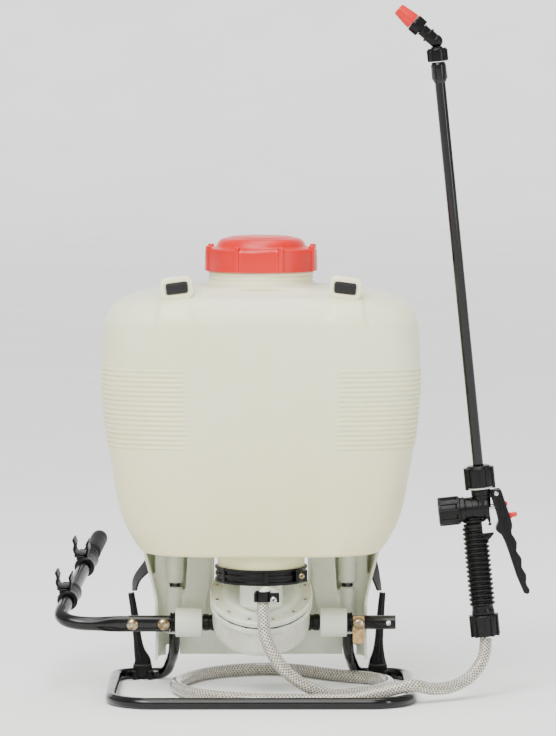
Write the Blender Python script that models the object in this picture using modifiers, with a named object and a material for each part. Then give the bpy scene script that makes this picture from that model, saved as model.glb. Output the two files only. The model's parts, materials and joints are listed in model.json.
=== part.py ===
"""Backpack sprayer: moulded tank on a bent tube frame, diaphragm pump worked by a side lever, and a
shut-off handset on a clear hose.

Metres, +Z up, +X to the right of the tank's front face, +Y towards the wearer's back. The origin is
the middle of the front rail's underside, on the ground.
"""

from math import cos, hypot, pi, radians, sin

import bmesh
import bpy
from mathutils import Matrix, Vector

# Clearances and fineness
GAP = 0.0003
MERGE = 0.0001
SHARP = radians(35)

# Tank: plan outlines from the base up. Height, half width, depth to the front and to the back of
# the tank's middle plane, depth of the hollow for the wearer's back, and squareness of the corners.
TANK_Y = 0.110
TANK_WALL = 0.003
TANK_POINTS = 32
TANK_OUTLINES = (
    (0.1660, 0.1300, 0.090, 0.080, 0.000, 3.4),
    (0.1685, 0.1365, 0.094, 0.086, 0.000, 3.4),
    (0.1900, 0.1495, 0.098, 0.092, 0.005, 3.4),
    (0.2130, 0.1585, 0.100, 0.094, 0.009, 3.4),
    (0.2550, 0.1665, 0.102, 0.095, 0.013, 3.4),
    (0.3070, 0.1750, 0.103, 0.094, 0.017, 3.4),
    (0.3610, 0.1787, 0.104, 0.094, 0.016, 3.4),
    (0.4150, 0.1764, 0.102, 0.096, 0.010, 3.4),
    (0.4300, 0.1725, 0.100, 0.096, 0.007, 3.4),
    (0.4417, 0.1635, 0.094, 0.092, 0.004, 3.4),
    (0.4507, 0.1480, 0.084, 0.084, 0.002, 3.3),
    (0.4560, 0.1310, 0.073, 0.075, 0.000, 3.0),
    (0.4605, 0.1050, 0.066, 0.068, 0.000, 2.6),
)
NECK_RADIUS = 0.0575
NECK_TOP = 0.4972
OUTLET_Y = 0.074
OUTLET_RADIUS = 0.0485
OUTLET_BOTTOM = 0.1390
LUG_X = 0.093
LUG_Y = 0.036

# Base skirt below the tank: half width at each height, and where its back wall stands
SKIRT_LEVELS = ((0.034, 0.121), (0.100, 0.120), (0.130, 0.1265), (0.155, 0.133), (0.1655, 0.134))
SKIRT_WALL = 0.0035
SKIRT_FRONT = 0.132
SKIRT_BACK = 0.182
SKIRT_CORNER = 0.022
SKIRT_OPENING = (0.0535, 0.1120)
SOCKET_RADIUS = 0.0105

# Tube frame
FRAME_RADIUS = 0.0063
FRAME_HALF_WIDTH = 0.1673
FRAME_BACK = 0.219
FRAME_FRONT_CORNER = 0.047
FRAME_BACK_CORNER = 0.024
RISER_FOOT = (0.0987, 0.1580, 0.0600)
RISER_TOP = (0.0980, 0.1550, 0.1250)

# Strap hooks on the frame's back rail: side, name, and the places of the foot, the stem's bend and its top
HOOKS = ((-1, "left", 0.1370, 0.1425, 0.1500), (1, "right", 0.1345, 0.1360, 0.1400))
HOOK_HALF = 0.0105

# Pump: the seam's centre, tipped forward, and the shaft that crosses the bowl
PUMP_CENTRE = (0.0, 0.103, 0.110)
PUMP_TILT = radians(30)
PUMP_RADIUS = 0.0577
BOWL_RADIUS = 0.0550
SEAM = 0.0013
SHAFT_Y = 0.1215
SHAFT_Z = 0.0793
SHAFT_RADIUS = 0.0080
SHAFT_LEFT = -0.150
SHAFT_RIGHT = 0.152
CRANK_RADIUS = 0.0120
CRANK_REST = radians(20)
PIN_RADIUS = 0.0030
STROKE = 0.0082
BOSS_RADIUS = 0.0165
BOSS_INNER = 0.066
BOSS_OUTER = 0.097

# Pump lever
LEVER_RADIUS = 0.0078
LEVER_FLAT = (0.0070, 0.0180)
LEVER_BOLTS = (("outer", -0.145), ("inner", -0.110))
ARM_BEND = (-0.2262, 0.140, 0.0893)
ARM_END = (-0.1930, 0.394, 0.1425)
GRIP_START = 0.190
CLIP_PLACES = (("lower", 0.051), ("upper", 0.168))
BRACKET_X = 0.110

# Handset: its frame's centre is where the wand's line crosses the valve barrel
HANDSET = (0.2475, 0.080, 0.2144)
HANDSET_LEAN = radians(-5.85)
HANDLE_X = -0.0105
TRIGGER_PIVOT = (0.01675, 0.0151)
WAND_RADIUS = 0.0059
SPRING_TURNS = 6
SPRING_SIDES = 9
SPRING_RADIUS = 0.0062
SPRING_START = -0.0450
SPRING_END = -0.0080
ELBOW_HEIGHT = 0.5170
KNEE_RISE = 0.0055
NOZZLE_TURN = radians(-43.15)

# Hose: outer radius, and the route that its centre follows
HOSE_RADIUS = 0.0070
HOSE_POINTS = 52
HOSE_ROUTE = (
    (0.0020, 0.0120, 0.1160), (0.0021, 0.0120, 0.1020), (0.0050, 0.0110, 0.0790), (0.0150, 0.0110, 0.0560),
    (0.0330, 0.0170, 0.0340), (0.0550, 0.0260, 0.0190), (0.0800, 0.0400, 0.0090), (0.1050, 0.0600, 0.0074),
    (0.1290, 0.0840, 0.0074), (0.1440, 0.1150, 0.0074), (0.1430, 0.1480, 0.0074), (0.1280, 0.1730, 0.0074),
    (0.1020, 0.1880, 0.0074), (0.0760, 0.2080, 0.0074), (0.0480, 0.2330, 0.0074), (0.0080, 0.2450, 0.0074),
    (-0.0330, 0.2350, 0.0074), (-0.0640, 0.2100, 0.0074), (-0.0840, 0.1760, 0.0074),
    (-0.0960, 0.1370, 0.0074),
    (-0.0930, 0.0990, 0.0074), (-0.0780, 0.0650, 0.0074), (-0.0530, 0.0400, 0.0074),
    (-0.0180, 0.0240, 0.0074),
    (0.0200, 0.0170, 0.0074), (0.0600, 0.0155, 0.0074), (0.1000, 0.0180, 0.0085), (0.1350, 0.0230, 0.0150),
    (0.1673, 0.0300, 0.0214), (0.1900, 0.0425, 0.0158), (0.2130, 0.0565, 0.0160), (0.2320, 0.0680, 0.0238),
    (0.2445, 0.0755, 0.0365), (0.2508, 0.0790, 0.0515), (0.2521, 0.0800, 0.0678),
)

LOOKS = {
    "tank_plastic": ((0.87, 0.86, 0.74), 0.42, 0.0),
    "pump_plastic": ((0.62, 0.66, 0.56), 0.38, 0.0),
    "red_plastic": ((0.78, 0.05, 0.03), 0.32, 0.0),
    "black_plastic": ((0.02, 0.02, 0.022), 0.45, 0.0),
    "black_paint": ((0.015, 0.015, 0.015), 0.28, 0.0),
    "rubber": ((0.025, 0.025, 0.025), 0.75, 0.0),
    "pale_seal": ((0.72, 0.71, 0.64), 0.55, 0.0),
    "zinc": ((0.66, 0.60, 0.42), 0.35, 1.0),
    "steel": ((0.55, 0.55, 0.55), 0.3, 1.0),
    "hose_vinyl": ((0.75, 0.77, 0.72), 0.2, 0.0),
    "webbing": ((0.018, 0.018, 0.02), 0.85, 0.0),
    "pad_cloth": ((0.03, 0.03, 0.035), 0.9, 0.0),
}

ALONG_X = (0.0, pi / 2, 0.0)
ALONG_Y = (-pi / 2, 0.0, 0.0)
UPRIGHT = (0.0, 0.0, 0.0)
ORIGIN = (0.0, 0.0, 0.0)


def clear_scene():
    for thing in list(bpy.data.objects):
        bpy.data.objects.remove(thing, do_unlink=True)


def new_collection(name):
    group = bpy.data.collections.new(name)
    bpy.context.scene.collection.children.link(group)
    return group


clear_scene()
PARTS = new_collection("backpack_sprayer")
CUTTERS = new_collection("cutters")
GUIDES = new_collection("guides")


def place(obj, look, at=ORIGIN, turn=UPRIGHT, parent=None):
    """Link an object as a part with its own material, or as a cutter where it has no look."""
    obj.location = at
    obj.rotation_euler = turn
    obj.parent = parent
    if look is None:
        CUTTERS.objects.link(obj)
        obj.hide_render = True
        obj.display_type = "WIRE"
        return obj
    PARTS.objects.link(obj)
    colour, roughness, metallic = LOOKS[look]
    material = bpy.data.materials.new(obj.name + "_" + look)
    material.use_nodes = True
    shader = material.node_tree.nodes["Principled BSDF"]
    shader.inputs["Base Color"].default_value = (*colour, 1.0)
    shader.inputs["Roughness"].default_value = roughness
    shader.inputs["Metallic"].default_value = metallic
    obj.data.materials.append(material)
    return obj


def guide(name, at, turn, parent=None):
    """An empty that carries the parts of a tilted group."""
    empty = bpy.data.objects.new(name, None)
    empty.location = at
    empty.rotation_euler = turn
    empty.parent = parent
    GUIDES.objects.link(empty)
    return empty


def smooth(mesh):
    mesh.shade_smooth()
    mesh.set_sharp_from_angle(angle=SHARP)


def turned(name, profile, look, at=ORIGIN, turn=UPRIGHT, parent=None, steps=28, ring=False):
    """Spin a profile of (radius, height) points, top to bottom down its outer side, about Z."""
    mesh = bpy.data.meshes.new(name)
    edges = [(i, i + 1) for i in range(len(profile) - 1)]
    if ring:
        edges.append((len(profile) - 1, 0))
    mesh.from_pydata([(radius, 0.0, height) for radius, height in profile], edges, [])
    obj = bpy.data.objects.new(name, mesh)
    screw = obj.modifiers.new("Screw", "SCREW")
    screw.steps = steps
    screw.render_steps = steps
    screw.use_merge_vertices = True
    screw.merge_threshold = MERGE
    screw.use_smooth_shade = True
    return place(obj, look, at, turn, parent)


def rod(name, radius, low, high, look, at=ORIGIN, turn=UPRIGHT, parent=None, steps=20):
    profile = ((0.0, high), (radius, high), (radius, low), (0.0, low))
    return turned(name, profile, look, at, turn, parent, steps)


def sleeve(name, inner, outer, low, high, look, at=ORIGIN, turn=UPRIGHT, parent=None, steps=24):
    profile = ((inner, high), (outer, high), (outer, low), (inner, low))
    return turned(name, profile, look, at, turn, parent, steps, ring=True)


def rod_between(name, radius, start, end, look=None, parent=None, steps=16):
    """A round rod whose axis runs from one point to another."""
    line = Vector(end) - Vector(start)
    aim = Vector((0.0, 0.0, 1.0)).rotation_difference(line).to_euler()
    return rod(name, radius, 0.0, line.length, look, start, aim, parent, steps)


def box(name, low, high, look, edge=0.0, parent=None):
    """A box between two corners, with its edges rounded by a bevel."""
    middle = (Vector(low) + Vector(high)) / 2
    size = Vector(high) - Vector(low)
    body = bmesh.new()
    bmesh.ops.create_cube(body, size=1.0)
    bmesh.ops.scale(body, vec=size, verts=body.verts)
    mesh = bpy.data.meshes.new(name)
    body.to_mesh(mesh)
    body.free()
    obj = bpy.data.objects.new(name, mesh)
    if edge:
        bevel = obj.modifiers.new("Bevel", "BEVEL")
        bevel.width = edge
        bevel.segments = 2
    return place(obj, look, middle, UPRIGHT, parent)


def tube_curve(name, points, radius, resolution=2, tilt=0.0, twist="MINIMUM"):
    curve = bpy.data.curves.new(name, "CURVE")
    curve.dimensions = "3D"
    curve.twist_mode = twist
    curve.bevel_depth = radius
    curve.bevel_resolution = resolution
    curve.use_fill_caps = True
    spline = curve.splines.new("POLY")
    spline.points.add(len(points) - 1)
    for target, point in zip(spline.points, points):
        target.co = (*point, 1.0)
        target.tilt = tilt
    return bpy.data.objects.new(name, curve)


def tube(name, points, radius, look, parent=None, **style):
    """A round bar or cord along a line of points."""
    return place(tube_curve(name, points, radius, **style), look, parent=parent)


def outline_curve(name, points, thickness):
    curve = bpy.data.curves.new(name, "CURVE")
    curve.dimensions = "2D"
    curve.fill_mode = "BOTH"
    curve.extrude = thickness / 2
    spline = curve.splines.new("POLY")
    spline.points.add(len(points) - 1)
    for target, point in zip(spline.points, points):
        target.co = (*point, 0.0, 1.0)
    spline.use_cyclic_u = True
    return bpy.data.objects.new(name, curve)


def as_mesh(curve_object, look, at=ORIGIN, turn=UPRIGHT, parent=None):
    """Turn a curve object into a mesh object that can be cut or joined."""
    name = curve_object.name
    CUTTERS.objects.link(curve_object)
    evaluated = curve_object.evaluated_get(bpy.context.evaluated_depsgraph_get())
    mesh = bpy.data.meshes.new_from_object(evaluated)
    matrix = curve_object.matrix_world.copy()
    bpy.data.objects.remove(curve_object, do_unlink=True)
    body = bmesh.new()
    body.from_mesh(mesh)
    bmesh.ops.remove_doubles(body, verts=body.verts, dist=MERGE / 10)
    bmesh.ops.recalc_face_normals(body, faces=body.faces)
    body.to_mesh(mesh)
    body.free()
    mesh.transform(matrix)
    smooth(mesh)
    obj = bpy.data.objects.new(name, mesh)
    return place(obj, look, at, turn, parent)


def bar(name, points, radius, look, parent=None, **style):
    """A round bar as a mesh, for cutting and joining."""
    return as_mesh(tube_curve(name, points, radius, **style), look, parent=parent)


def plate(name, points, thickness, look, at=ORIGIN, turn=UPRIGHT, parent=None):
    """A flat outline in XY with its thickness centred on Z = 0."""
    return as_mesh(outline_curve(name, points, thickness), look, at, turn, parent)


def change(part, operation, tools):
    for tool in tools:
        boolean = part.modifiers.new(operation.title(), "BOOLEAN")
        boolean.operation = operation
        boolean.object = tool
    return part


def cut(part, *tools):
    return change(part, "DIFFERENCE", tools)


def fuse(part, *tools):
    return change(part, "UNION", tools)


def arc(centre, radius, start, end, count):
    """Points on an arc in a plane, with angles in degrees."""
    angles = [radians(start + (end - start) * i / (count - 1)) for i in range(count)]
    return [(centre[0] + radius * cos(a), centre[1] + radius * sin(a)) for a in angles]


def capsule(far, near_radius, far_radius):
    """Outline round a circle at the origin and a circle at another point."""
    reach = hypot(*far)
    heading = Vector(far).angle_signed(Vector((1.0, 0.0))) * 180 / pi
    side = 90 - (near_radius - far_radius) / reach * 180 / pi
    near_arc = arc((0.0, 0.0), near_radius, heading + side, heading + 360 - side, 8)
    return near_arc + arc(far, far_radius, heading - side, heading + side, 6)


def smooth_line(route, count):
    """Points at even steps of length along a smooth curve through a route's points."""
    knots = [Vector(p) for p in route]
    knots = [2 * knots[0] - knots[1]] + knots + [2 * knots[-1] - knots[-2]]
    fine = []
    for i in range(1, len(knots) - 2):
        a, b, c, d = knots[i - 1:i + 3]
        for step in range(12):
            t = step / 12
            fine.append(0.5 * (2 * b + (c - a) * t + (2 * a - 5 * b + 4 * c - d) * t ** 2
                               + (3 * b - a - 3 * c + d) * t ** 3))
    fine.append(knots[-2])
    lengths = [0.0]
    for before, after in zip(fine, fine[1:]):
        lengths.append(lengths[-1] + (after - before).length)
    points = []
    place_on = 0
    for i in range(count):
        wanted = lengths[-1] * i / (count - 1)
        while place_on < len(fine) - 2 and lengths[place_on + 1] < wanted:
            place_on += 1
        span = lengths[place_on + 1] - lengths[place_on]
        points.append(fine[place_on].lerp(fine[place_on + 1], (wanted - lengths[place_on]) / span))
    return points


def loft(name, rings, look, closed=True, capped=False):
    """Skin between rings that have the same number of points."""
    body = bmesh.new()
    rows = [[body.verts.new(point) for point in ring] for ring in rings]
    count = len(rows[0])
    for low, high in zip(rows, rows[1:]):
        for i in range(count if closed else count - 1):
            j = (i + 1) % count
            body.faces.new((low[i], low[j], high[j], high[i]))
    if capped:
        body.faces.new(rows[0][::-1])
        body.faces.new(rows[-1])
        bmesh.ops.recalc_face_normals(body, faces=body.faces)
    mesh = bpy.data.meshes.new(name)
    body.to_mesh(mesh)
    body.free()
    smooth(mesh)
    return place(bpy.data.objects.new(name, mesh), look)


def thicken(part, wall):
    shell = part.modifiers.new("Solidify", "SOLIDIFY")
    shell.thickness = wall
    shell.offset = -1.0
    shell.use_even_offset = True
    return part


def refined(stations, parts):
    """Stations set between the given ones: points on a smooth line, sizes in even steps."""
    points = smooth_line([station[0] for station in stations], (len(stations) - 1) * parts + 1)
    between = []
    for i, point in enumerate(points):
        low = min(i // parts, len(stations) - 2)
        t = i / parts - low
        sizes = [a + (b - a) * t for a, b in zip(stations[low][1:], stations[low + 1][1:])]
        between.append((point, *sizes))
    return between


def ribbon(name, stations, look):
    """A flat strip through stations of (point, width, thickness, heading of its width in degrees)."""
    rings = []
    for i, (point, width, thickness, heading) in enumerate(stations):
        before = Vector(stations[max(i - 1, 0)][0])
        after = Vector(stations[min(i + 1, len(stations) - 1)][0])
        along = (after - before).normalized()
        across = Vector((cos(radians(heading)), sin(radians(heading)), 0.0))
        across = (across - across.dot(along) * along).normalized()
        out = along.cross(across)
        corners = ((-1, -1), (1, -1), (1, 1), (-1, 1))
        rings.append([Vector(point) + across * width / 2 * u + out * thickness / 2 * v for u, v in corners])
    return loft(name, rings, look, capped=True)


def tank_ring(height, half_width, front, back, hollow, squareness):
    ring = []
    for i in range(TANK_POINTS):
        angle = 2 * pi * i / TANK_POINTS
        across = abs(cos(angle)) ** (2 / squareness) * (1 if cos(angle) >= 0 else -1)
        deep = abs(sin(angle)) ** (2 / squareness) * (1 if sin(angle) >= 0 else -1)
        y = TANK_Y + deep * (back if deep > 0 else front)
        if deep > 0:
            y -= hollow * deep * (1 - across ** 2) ** 2
        ring.append((half_width * across, y, height))
    return ring


def round_ring(height, radius, y):
    angles = [2 * pi * i / TANK_POINTS for i in range(TANK_POINTS)]
    return [(radius * cos(a), y + radius * sin(a), height) for a in angles]


def strap_lug(side):
    """Moulded bridge on the tank's shoulder that a strap end passes under."""
    centre = side * LUG_X
    lug = box("lug_body", (centre - 0.0175, LUG_Y - 0.006, 0.445), (centre + 0.0175, LUG_Y + 0.006, 0.4745),
              None, edge=0.003)
    slot = box("lug_slot", (centre - 0.0125, LUG_Y - 0.02, 0.4570),
               (centre + 0.0125, LUG_Y + 0.02, 0.4695), None)
    return cut(lug, slot)


def make_tank():
    rings = [
        round_ring(OUTLET_BOTTOM, OUTLET_RADIUS, OUTLET_Y),
        round_ring(0.1615, OUTLET_RADIUS, OUTLET_Y),
        round_ring(0.1650, OUTLET_RADIUS + 0.0025, OUTLET_Y),
    ]
    rings += [tank_ring(*outline) for outline in TANK_OUTLINES]
    rings += [
        round_ring(0.4640, NECK_RADIUS + 0.0030, TANK_Y),
        round_ring(0.4670, NECK_RADIUS, TANK_Y),
        round_ring(NECK_TOP, NECK_RADIUS, TANK_Y),
    ]
    tank = thicken(loft("tank_shell", rings, "tank_plastic"), TANK_WALL)
    fuse(tank, strap_lug(-1), strap_lug(1))


def make_skirt():
    rings = []
    for height, half_width in SKIRT_LEVELS:
        inner = half_width - SKIRT_CORNER
        centre = SKIRT_BACK - SKIRT_CORNER
        plan = [(half_width, SKIRT_FRONT)] + arc((inner, centre), SKIRT_CORNER, 0, 90, 4)
        plan += arc((-inner, centre), SKIRT_CORNER, 90, 180, 4) + [(-half_width, SKIRT_FRONT)]
        rings.append([(x, y, height) for x, y in plan])
    skirt = thicken(loft("base_skirt", rings, "pump_plastic", closed=False), SKIRT_WALL)
    for side in (-1, 1):
        column = rod("socket_column", SOCKET_RADIUS, 0.0620, 0.160, None, (side * 0.098, 0.1555, 0.0))
        side_web = box("side_web", (side * 0.112 - 0.009, 0.1535, 0.064),
                       (side * 0.112 + 0.009, 0.1575, 0.158), None)
        back_web = box("back_web", (side * 0.098 - 0.002, 0.1600, 0.080),
                       (side * 0.098 + 0.002, 0.1800, 0.158), None)
        boss = rod("shaft_boss", BOSS_RADIUS, BOSS_INNER, BOSS_OUTER, None, (0.0, SHAFT_Y, SHAFT_Z),
                   (0.0, side * pi / 2, 0.0), steps=16)
        boss_web = box("boss_web", (side * 0.0815 - 0.004, 0.126, 0.067),
                       (side * 0.0815 + 0.004, 0.1805, 0.0915), None)
        fuse(skirt, column, side_web, back_web, boss, boss_web)
    for side in (-1, 1):
        foot = (side * RISER_FOOT[0], RISER_FOOT[1] + GAP, RISER_FOOT[2] - 0.003)
        top = (side * RISER_TOP[0], RISER_TOP[1], RISER_TOP[2] + GAP)
        socket = rod_between("socket_bore", FRAME_RADIUS + 0.0005, foot, top)
        window = box("socket_window", (side * 0.098 - 0.005, 0.140, 0.116),
                     (side * 0.098 + 0.005, 0.152, 0.122), None)
        bore = rod("bush_bore", 0.0101, BOSS_INNER - 0.01, BOSS_OUTER + 0.01, None, (0.0, SHAFT_Y, SHAFT_Z),
                   (0.0, side * pi / 2, 0.0))
        notch = box("riser_notch", (side * 0.1010 - 0.0085, 0.1700, 0.020),
                    (side * 0.1010 + 0.0085, 0.1960, 0.0465), None)
        cut(skirt, socket, window, bore, notch)
    opening = box("back_opening", (-SKIRT_OPENING[0], 0.1700, SKIRT_OPENING[1]),
                  (SKIRT_OPENING[0], 0.1900, 0.1700), None)
    cut(skirt, opening)


def make_cap():
    profile = ((0.0, 0.5180), (0.0430, 0.5160), (0.0455, 0.5145), (0.0475, 0.5095), (0.0590, 0.5055),
               (0.0622, 0.5035), (0.0630, 0.5010), (0.0632, 0.4790), (0.0595, 0.4790), (0.0595, 0.5014),
               (0.0, 0.5050))
    cap = turned("filler_cap", profile, "red_plastic", (0.0, TANK_Y, 0.0), steps=28)
    for i in range(8):
        angle = radians(20 + 45 * i)
        foot = (0.0622 * cos(angle), TANK_Y + 0.0622 * sin(angle), 0.4792)
        fuse(cap, rod("cap_rib", 0.0025, 0.0, 0.0250, None, foot, steps=8))
    sleeve("cap_gasket", 0.0500, 0.0582, NECK_TOP + 0.0018, 0.5010, "rubber", (0.0, TANK_Y, 0.0), steps=24)
    basket = ((0.0, 0.4020), (0.0500, 0.4020), (0.0500, NECK_TOP + 0.0015), (0.0565, NECK_TOP + 0.0015),
              (0.0565, NECK_TOP + GAP), (0.0520, NECK_TOP + GAP), (0.0520, 0.4000), (0.0, 0.4000))
    strainer = turned("strainer_basket", basket, "black_plastic", (0.0, TANK_Y, 0.0), steps=20)
    for i in range(4):
        window = box("strainer_window", (-0.07, -0.006, 0.4150), (0.07, 0.006, 0.4850), None)
        window.location = (0.0, TANK_Y, 0.4500)
        window.rotation_euler = (0.0, 0.0, pi * i / 4)
        cut(strainer, window)


def make_outlet_ring():
    ring = sleeve("outlet_clamp_ring", OUTLET_RADIUS + 0.0005, 0.0515, 0.1340, 0.1510, "black_plastic",
                  (0.0, OUTLET_Y, 0.0), steps=28)
    ear_angle = radians(-36)
    outward = Vector((cos(ear_angle), sin(ear_angle), 0.0))
    centre = Vector((0.0, OUTLET_Y, 0.1432)) + outward * 0.0555
    ear = box("ring_ear", centre - Vector((0.0065, 0.0060, 0.0062)),
              centre + Vector((0.0065, 0.0060, 0.0062)),
              None, edge=0.001)
    keep = rod("ring_inside", OUTLET_RADIUS + 0.0005, 0.12, 0.16, None, (0.0, OUTLET_Y, 0.0), steps=28)
    hole = rod_between("ring_hole", 0.0023, centre - Vector((0.0, 0.02, 0.0)),
                       centre + Vector((0.0, 0.02, 0.0)))
    fuse(ring, ear)
    cut(ring, keep, hole)
    head = ((0.0, -0.0103), (0.0028, -0.0103), (0.0036, -0.0090), (0.0036, -0.0066), (0.0020, -0.0066),
            (0.0020, 0.0066), (0.0, 0.0066))
    turned("clamp_screw", head[::-1], "zinc", centre, ALONG_Y, steps=14)


def make_pump_cover(frame):
    profile = ((0.0, 0.0145), (0.0395, 0.0145), (0.0425, 0.0125), (0.0430, 0.0073), (PUMP_RADIUS, 0.0073),
               (PUMP_RADIUS, SEAM), (0.0, SEAM))
    cover = turned("pump_cover", profile, "pump_plastic", parent=frame, steps=28)
    collar = rod("inlet_collar", 0.0240, 0.0900, 0.1360, None, (0.0, OUTLET_Y, 0.0), steps=20)
    flange = rod("inlet_flange", 0.0475, 0.1345, 0.1385, None, (0.0, OUTLET_Y, 0.0), steps=28)
    duct_line = ((0.0170, 0.0700, 0.1200), (0.0165, 0.0450, 0.1225), (0.0115, 0.0280, 0.1265),
                 (0.0040, 0.0150, 0.1285), (0.0020, 0.0120, 0.1240))
    duct = bar("outlet_duct", smooth_line(duct_line, 9) + [Vector((0.0020, 0.0120, 0.1166))], 0.0056, None)
    duct_bore = bar("outlet_bore", smooth_line(duct_line, 9) + [Vector((0.0020, 0.0120, 0.1120))], 0.0030,
                    None)
    ring_room = sleeve("ring_room", OUTLET_RADIUS + 0.0002, 0.0520, 0.1335, 0.1700, None,
                       (0.0, OUTLET_Y, 0.0))
    down = rod("outlet_drop", 0.0033, 0.0985, 0.1210, None, (0.0170, 0.0720, 0.0), steps=12)
    inlet = rod("inlet_bore", 0.0120, 0.0990, 0.1450, None, (0.0, OUTLET_Y, 0.0), steps=16)
    below = box("below_seam", (-0.08, -0.08, -0.06), (0.08, 0.08, SEAM), None, parent=frame)
    chamber = rod("pump_chamber", 0.0380, -0.01, 0.0092, None, parent=frame, steps=20)
    fuse(cover, collar, flange, duct)
    cut(cover, below, chamber, inlet, duct_bore, down, ring_room)


def make_pump_housing(frame):
    profile = ((0.0, -0.0490), (0.0290, -0.0490), (0.0380, -0.0470), (0.0470, -0.0425), (0.0512, -0.0350),
               (0.0512, -0.0090), (0.0500, -SEAM), (PUMP_RADIUS, -SEAM), (PUMP_RADIUS, -0.0073),
               (BOWL_RADIUS, -0.0085), (BOWL_RADIUS, -0.0365), (0.0500, -0.0450), (0.0400, -0.0500),
               (0.0300, -0.0520), (0.0, -0.0520))
    bowl = turned("pump_housing", profile, "pump_plastic", parent=frame, steps=28)
    bore = rod("inner_bush_bore", 0.0098, -0.08, 0.08, None, (0.0, SHAFT_Y, SHAFT_Z), ALONG_X)
    cut(bowl, bore)
    for side, name in ((-0.0185, "left"), (0.0185, "right")):
        plug = ((0.0, -0.0523), (0.0050, -0.0523), (0.0050, -0.0555), (0.0038, -0.0560),
                (0.0038, -0.0590), (0.0, -0.0590))
        turned("drain_plug_" + name, plug, "black_plastic", (side, -0.0180, 0.0), parent=frame, steps=12)


def make_diaphragm(frame):
    rest = -STROKE / 2
    profile = ((0.0036, rest + 0.0008), (0.0230, rest + 0.0008), (0.0300, rest + 0.0012), (0.0370, 0.0008),
               (0.0570, 0.0008), (0.0570, -0.0008), (0.0380, -0.0008), (0.0305, rest - 0.0004),
               (0.0230, rest - 0.0008), (0.0036, rest - 0.0008))
    turned("diaphragm", profile, "rubber", parent=frame, steps=20, ring=True)
    top = ((0.0, rest + 0.0036), (0.0200, rest + 0.0036), (0.0215, rest + 0.0028),
           (0.0215, rest + 0.0011), (0.0, rest + 0.0011))
    turned("diaphragm_plate", top, "steel", parent=frame, steps=16)
    foot = ((0.0, rest + 0.0008), (0.0033, rest + 0.0008), (0.0033, rest - 0.0011), (0.0215, rest - 0.0011),
            (0.0215, rest - 0.0031), (0.0, rest - 0.0031))
    rod_body = turned("con_rod", foot, "black_plastic", parent=frame, steps=16)
    yoke = box("yoke", (-0.0065, -0.0060, -0.0462), (0.0065, 0.0205, rest - 0.0025), None, parent=frame)
    pin_y = CRANK_RADIUS * cos(CRANK_REST) + 0.0007
    pin_z = -0.0358 - CRANK_RADIUS * sin(CRANK_REST)
    half = PIN_RADIUS + GAP
    slot = box("yoke_slot", (-0.02, pin_y - 0.0042, pin_z - half), (0.02, pin_y + 0.0048, pin_z + half),
               None, parent=frame)
    fuse(rod_body, yoke)
    cut(rod_body, slot)


def make_valves():
    inlet = ((0.0, 0.1190), (0.0020, 0.1190), (0.0020, 0.1150), (0.0108, 0.1145), (0.0108, 0.1130),
             (0.0, 0.1130))
    turned("inlet_valve", inlet, "rubber", (0.0, OUTLET_Y, 0.0), steps=16)
    body = bmesh.new()
    bmesh.ops.create_uvsphere(body, u_segments=10, v_segments=6, radius=0.0026)
    mesh = bpy.data.meshes.new("outlet_valve")
    body.to_mesh(mesh)
    body.free()
    smooth(mesh)
    place(bpy.data.objects.new("outlet_valve", mesh), "steel", (0.0170, 0.0720, 0.1080))


def crank_web(side):
    """Capsule cheek from the shaft to the crank pin, in the plane across the shaft."""
    angle = PUMP_TILT - CRANK_REST
    far = (CRANK_RADIUS * cos(angle), CRANK_RADIUS * sin(angle))
    return plate("crank_web", capsule(far, 0.0090, 0.0055), 0.0050, None, (side * 0.0100, SHAFT_Y, SHAFT_Z),
                 (pi / 2, 0.0, pi / 2))


def make_shaft():
    at = (0.0, SHAFT_Y, SHAFT_Z)
    shaft = rod("pump_shaft", SHAFT_RADIUS, SHAFT_LEFT, -0.0100, "black_paint", at, ALONG_X, steps=16)
    right = rod("shaft_right", SHAFT_RADIUS, 0.0100, SHAFT_RIGHT, None, at, ALONG_X, steps=16)
    angle = PUMP_TILT - CRANK_REST
    pin_at = (0.0, SHAFT_Y + CRANK_RADIUS * cos(angle), SHAFT_Z + CRANK_RADIUS * sin(angle))
    pin = rod("crank_pin", PIN_RADIUS, -0.0100, 0.0100, None, pin_at, ALONG_X, steps=12)
    fuse(shaft, crank_web(-1), pin, crank_web(1), right)
    holes = [x for _, x in LEVER_BOLTS] + [BRACKET_X, 0.1440]
    for x in holes:
        start = (x, SHAFT_Y - 0.02, SHAFT_Z)
        end = (x, SHAFT_Y + 0.02, SHAFT_Z)
        cut(shaft, rod_between("cross_hole", 0.0029, start, end, steps=10))


def make_bushes():
    for side, name in ((-1, "left"), (1, "right")):
        at = (0.0, SHAFT_Y, SHAFT_Z)
        turn = (0.0, side * pi / 2, 0.0)
        sleeve("inner_bush_" + name, 0.0083, 0.0095, 0.0485, 0.0657, "black_plastic", at, turn, steps=20)
        flanged = ((0.0083, 0.1030), (0.0112, 0.1030), (0.0112, 0.0973), (0.0098, 0.0973),
                   (0.0098, 0.0663), (0.0083, 0.0663))
        turned("outer_bush_" + name, flanged, "black_plastic", at, turn, steps=20, ring=True)


def bolt(name, x, front, back):
    """Round-headed bolt along +Y, its head on the front."""
    profile = ((0.0, back), (0.0025, back), (0.0025, front), (0.0068, front), (0.0066, front - 0.0018),
               (0.0045, front - 0.0038), (0.0, front - 0.0045))
    turned(name, profile, "zinc", (x, 0.0, SHAFT_Z), ALONG_Y, steps=16)


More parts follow.
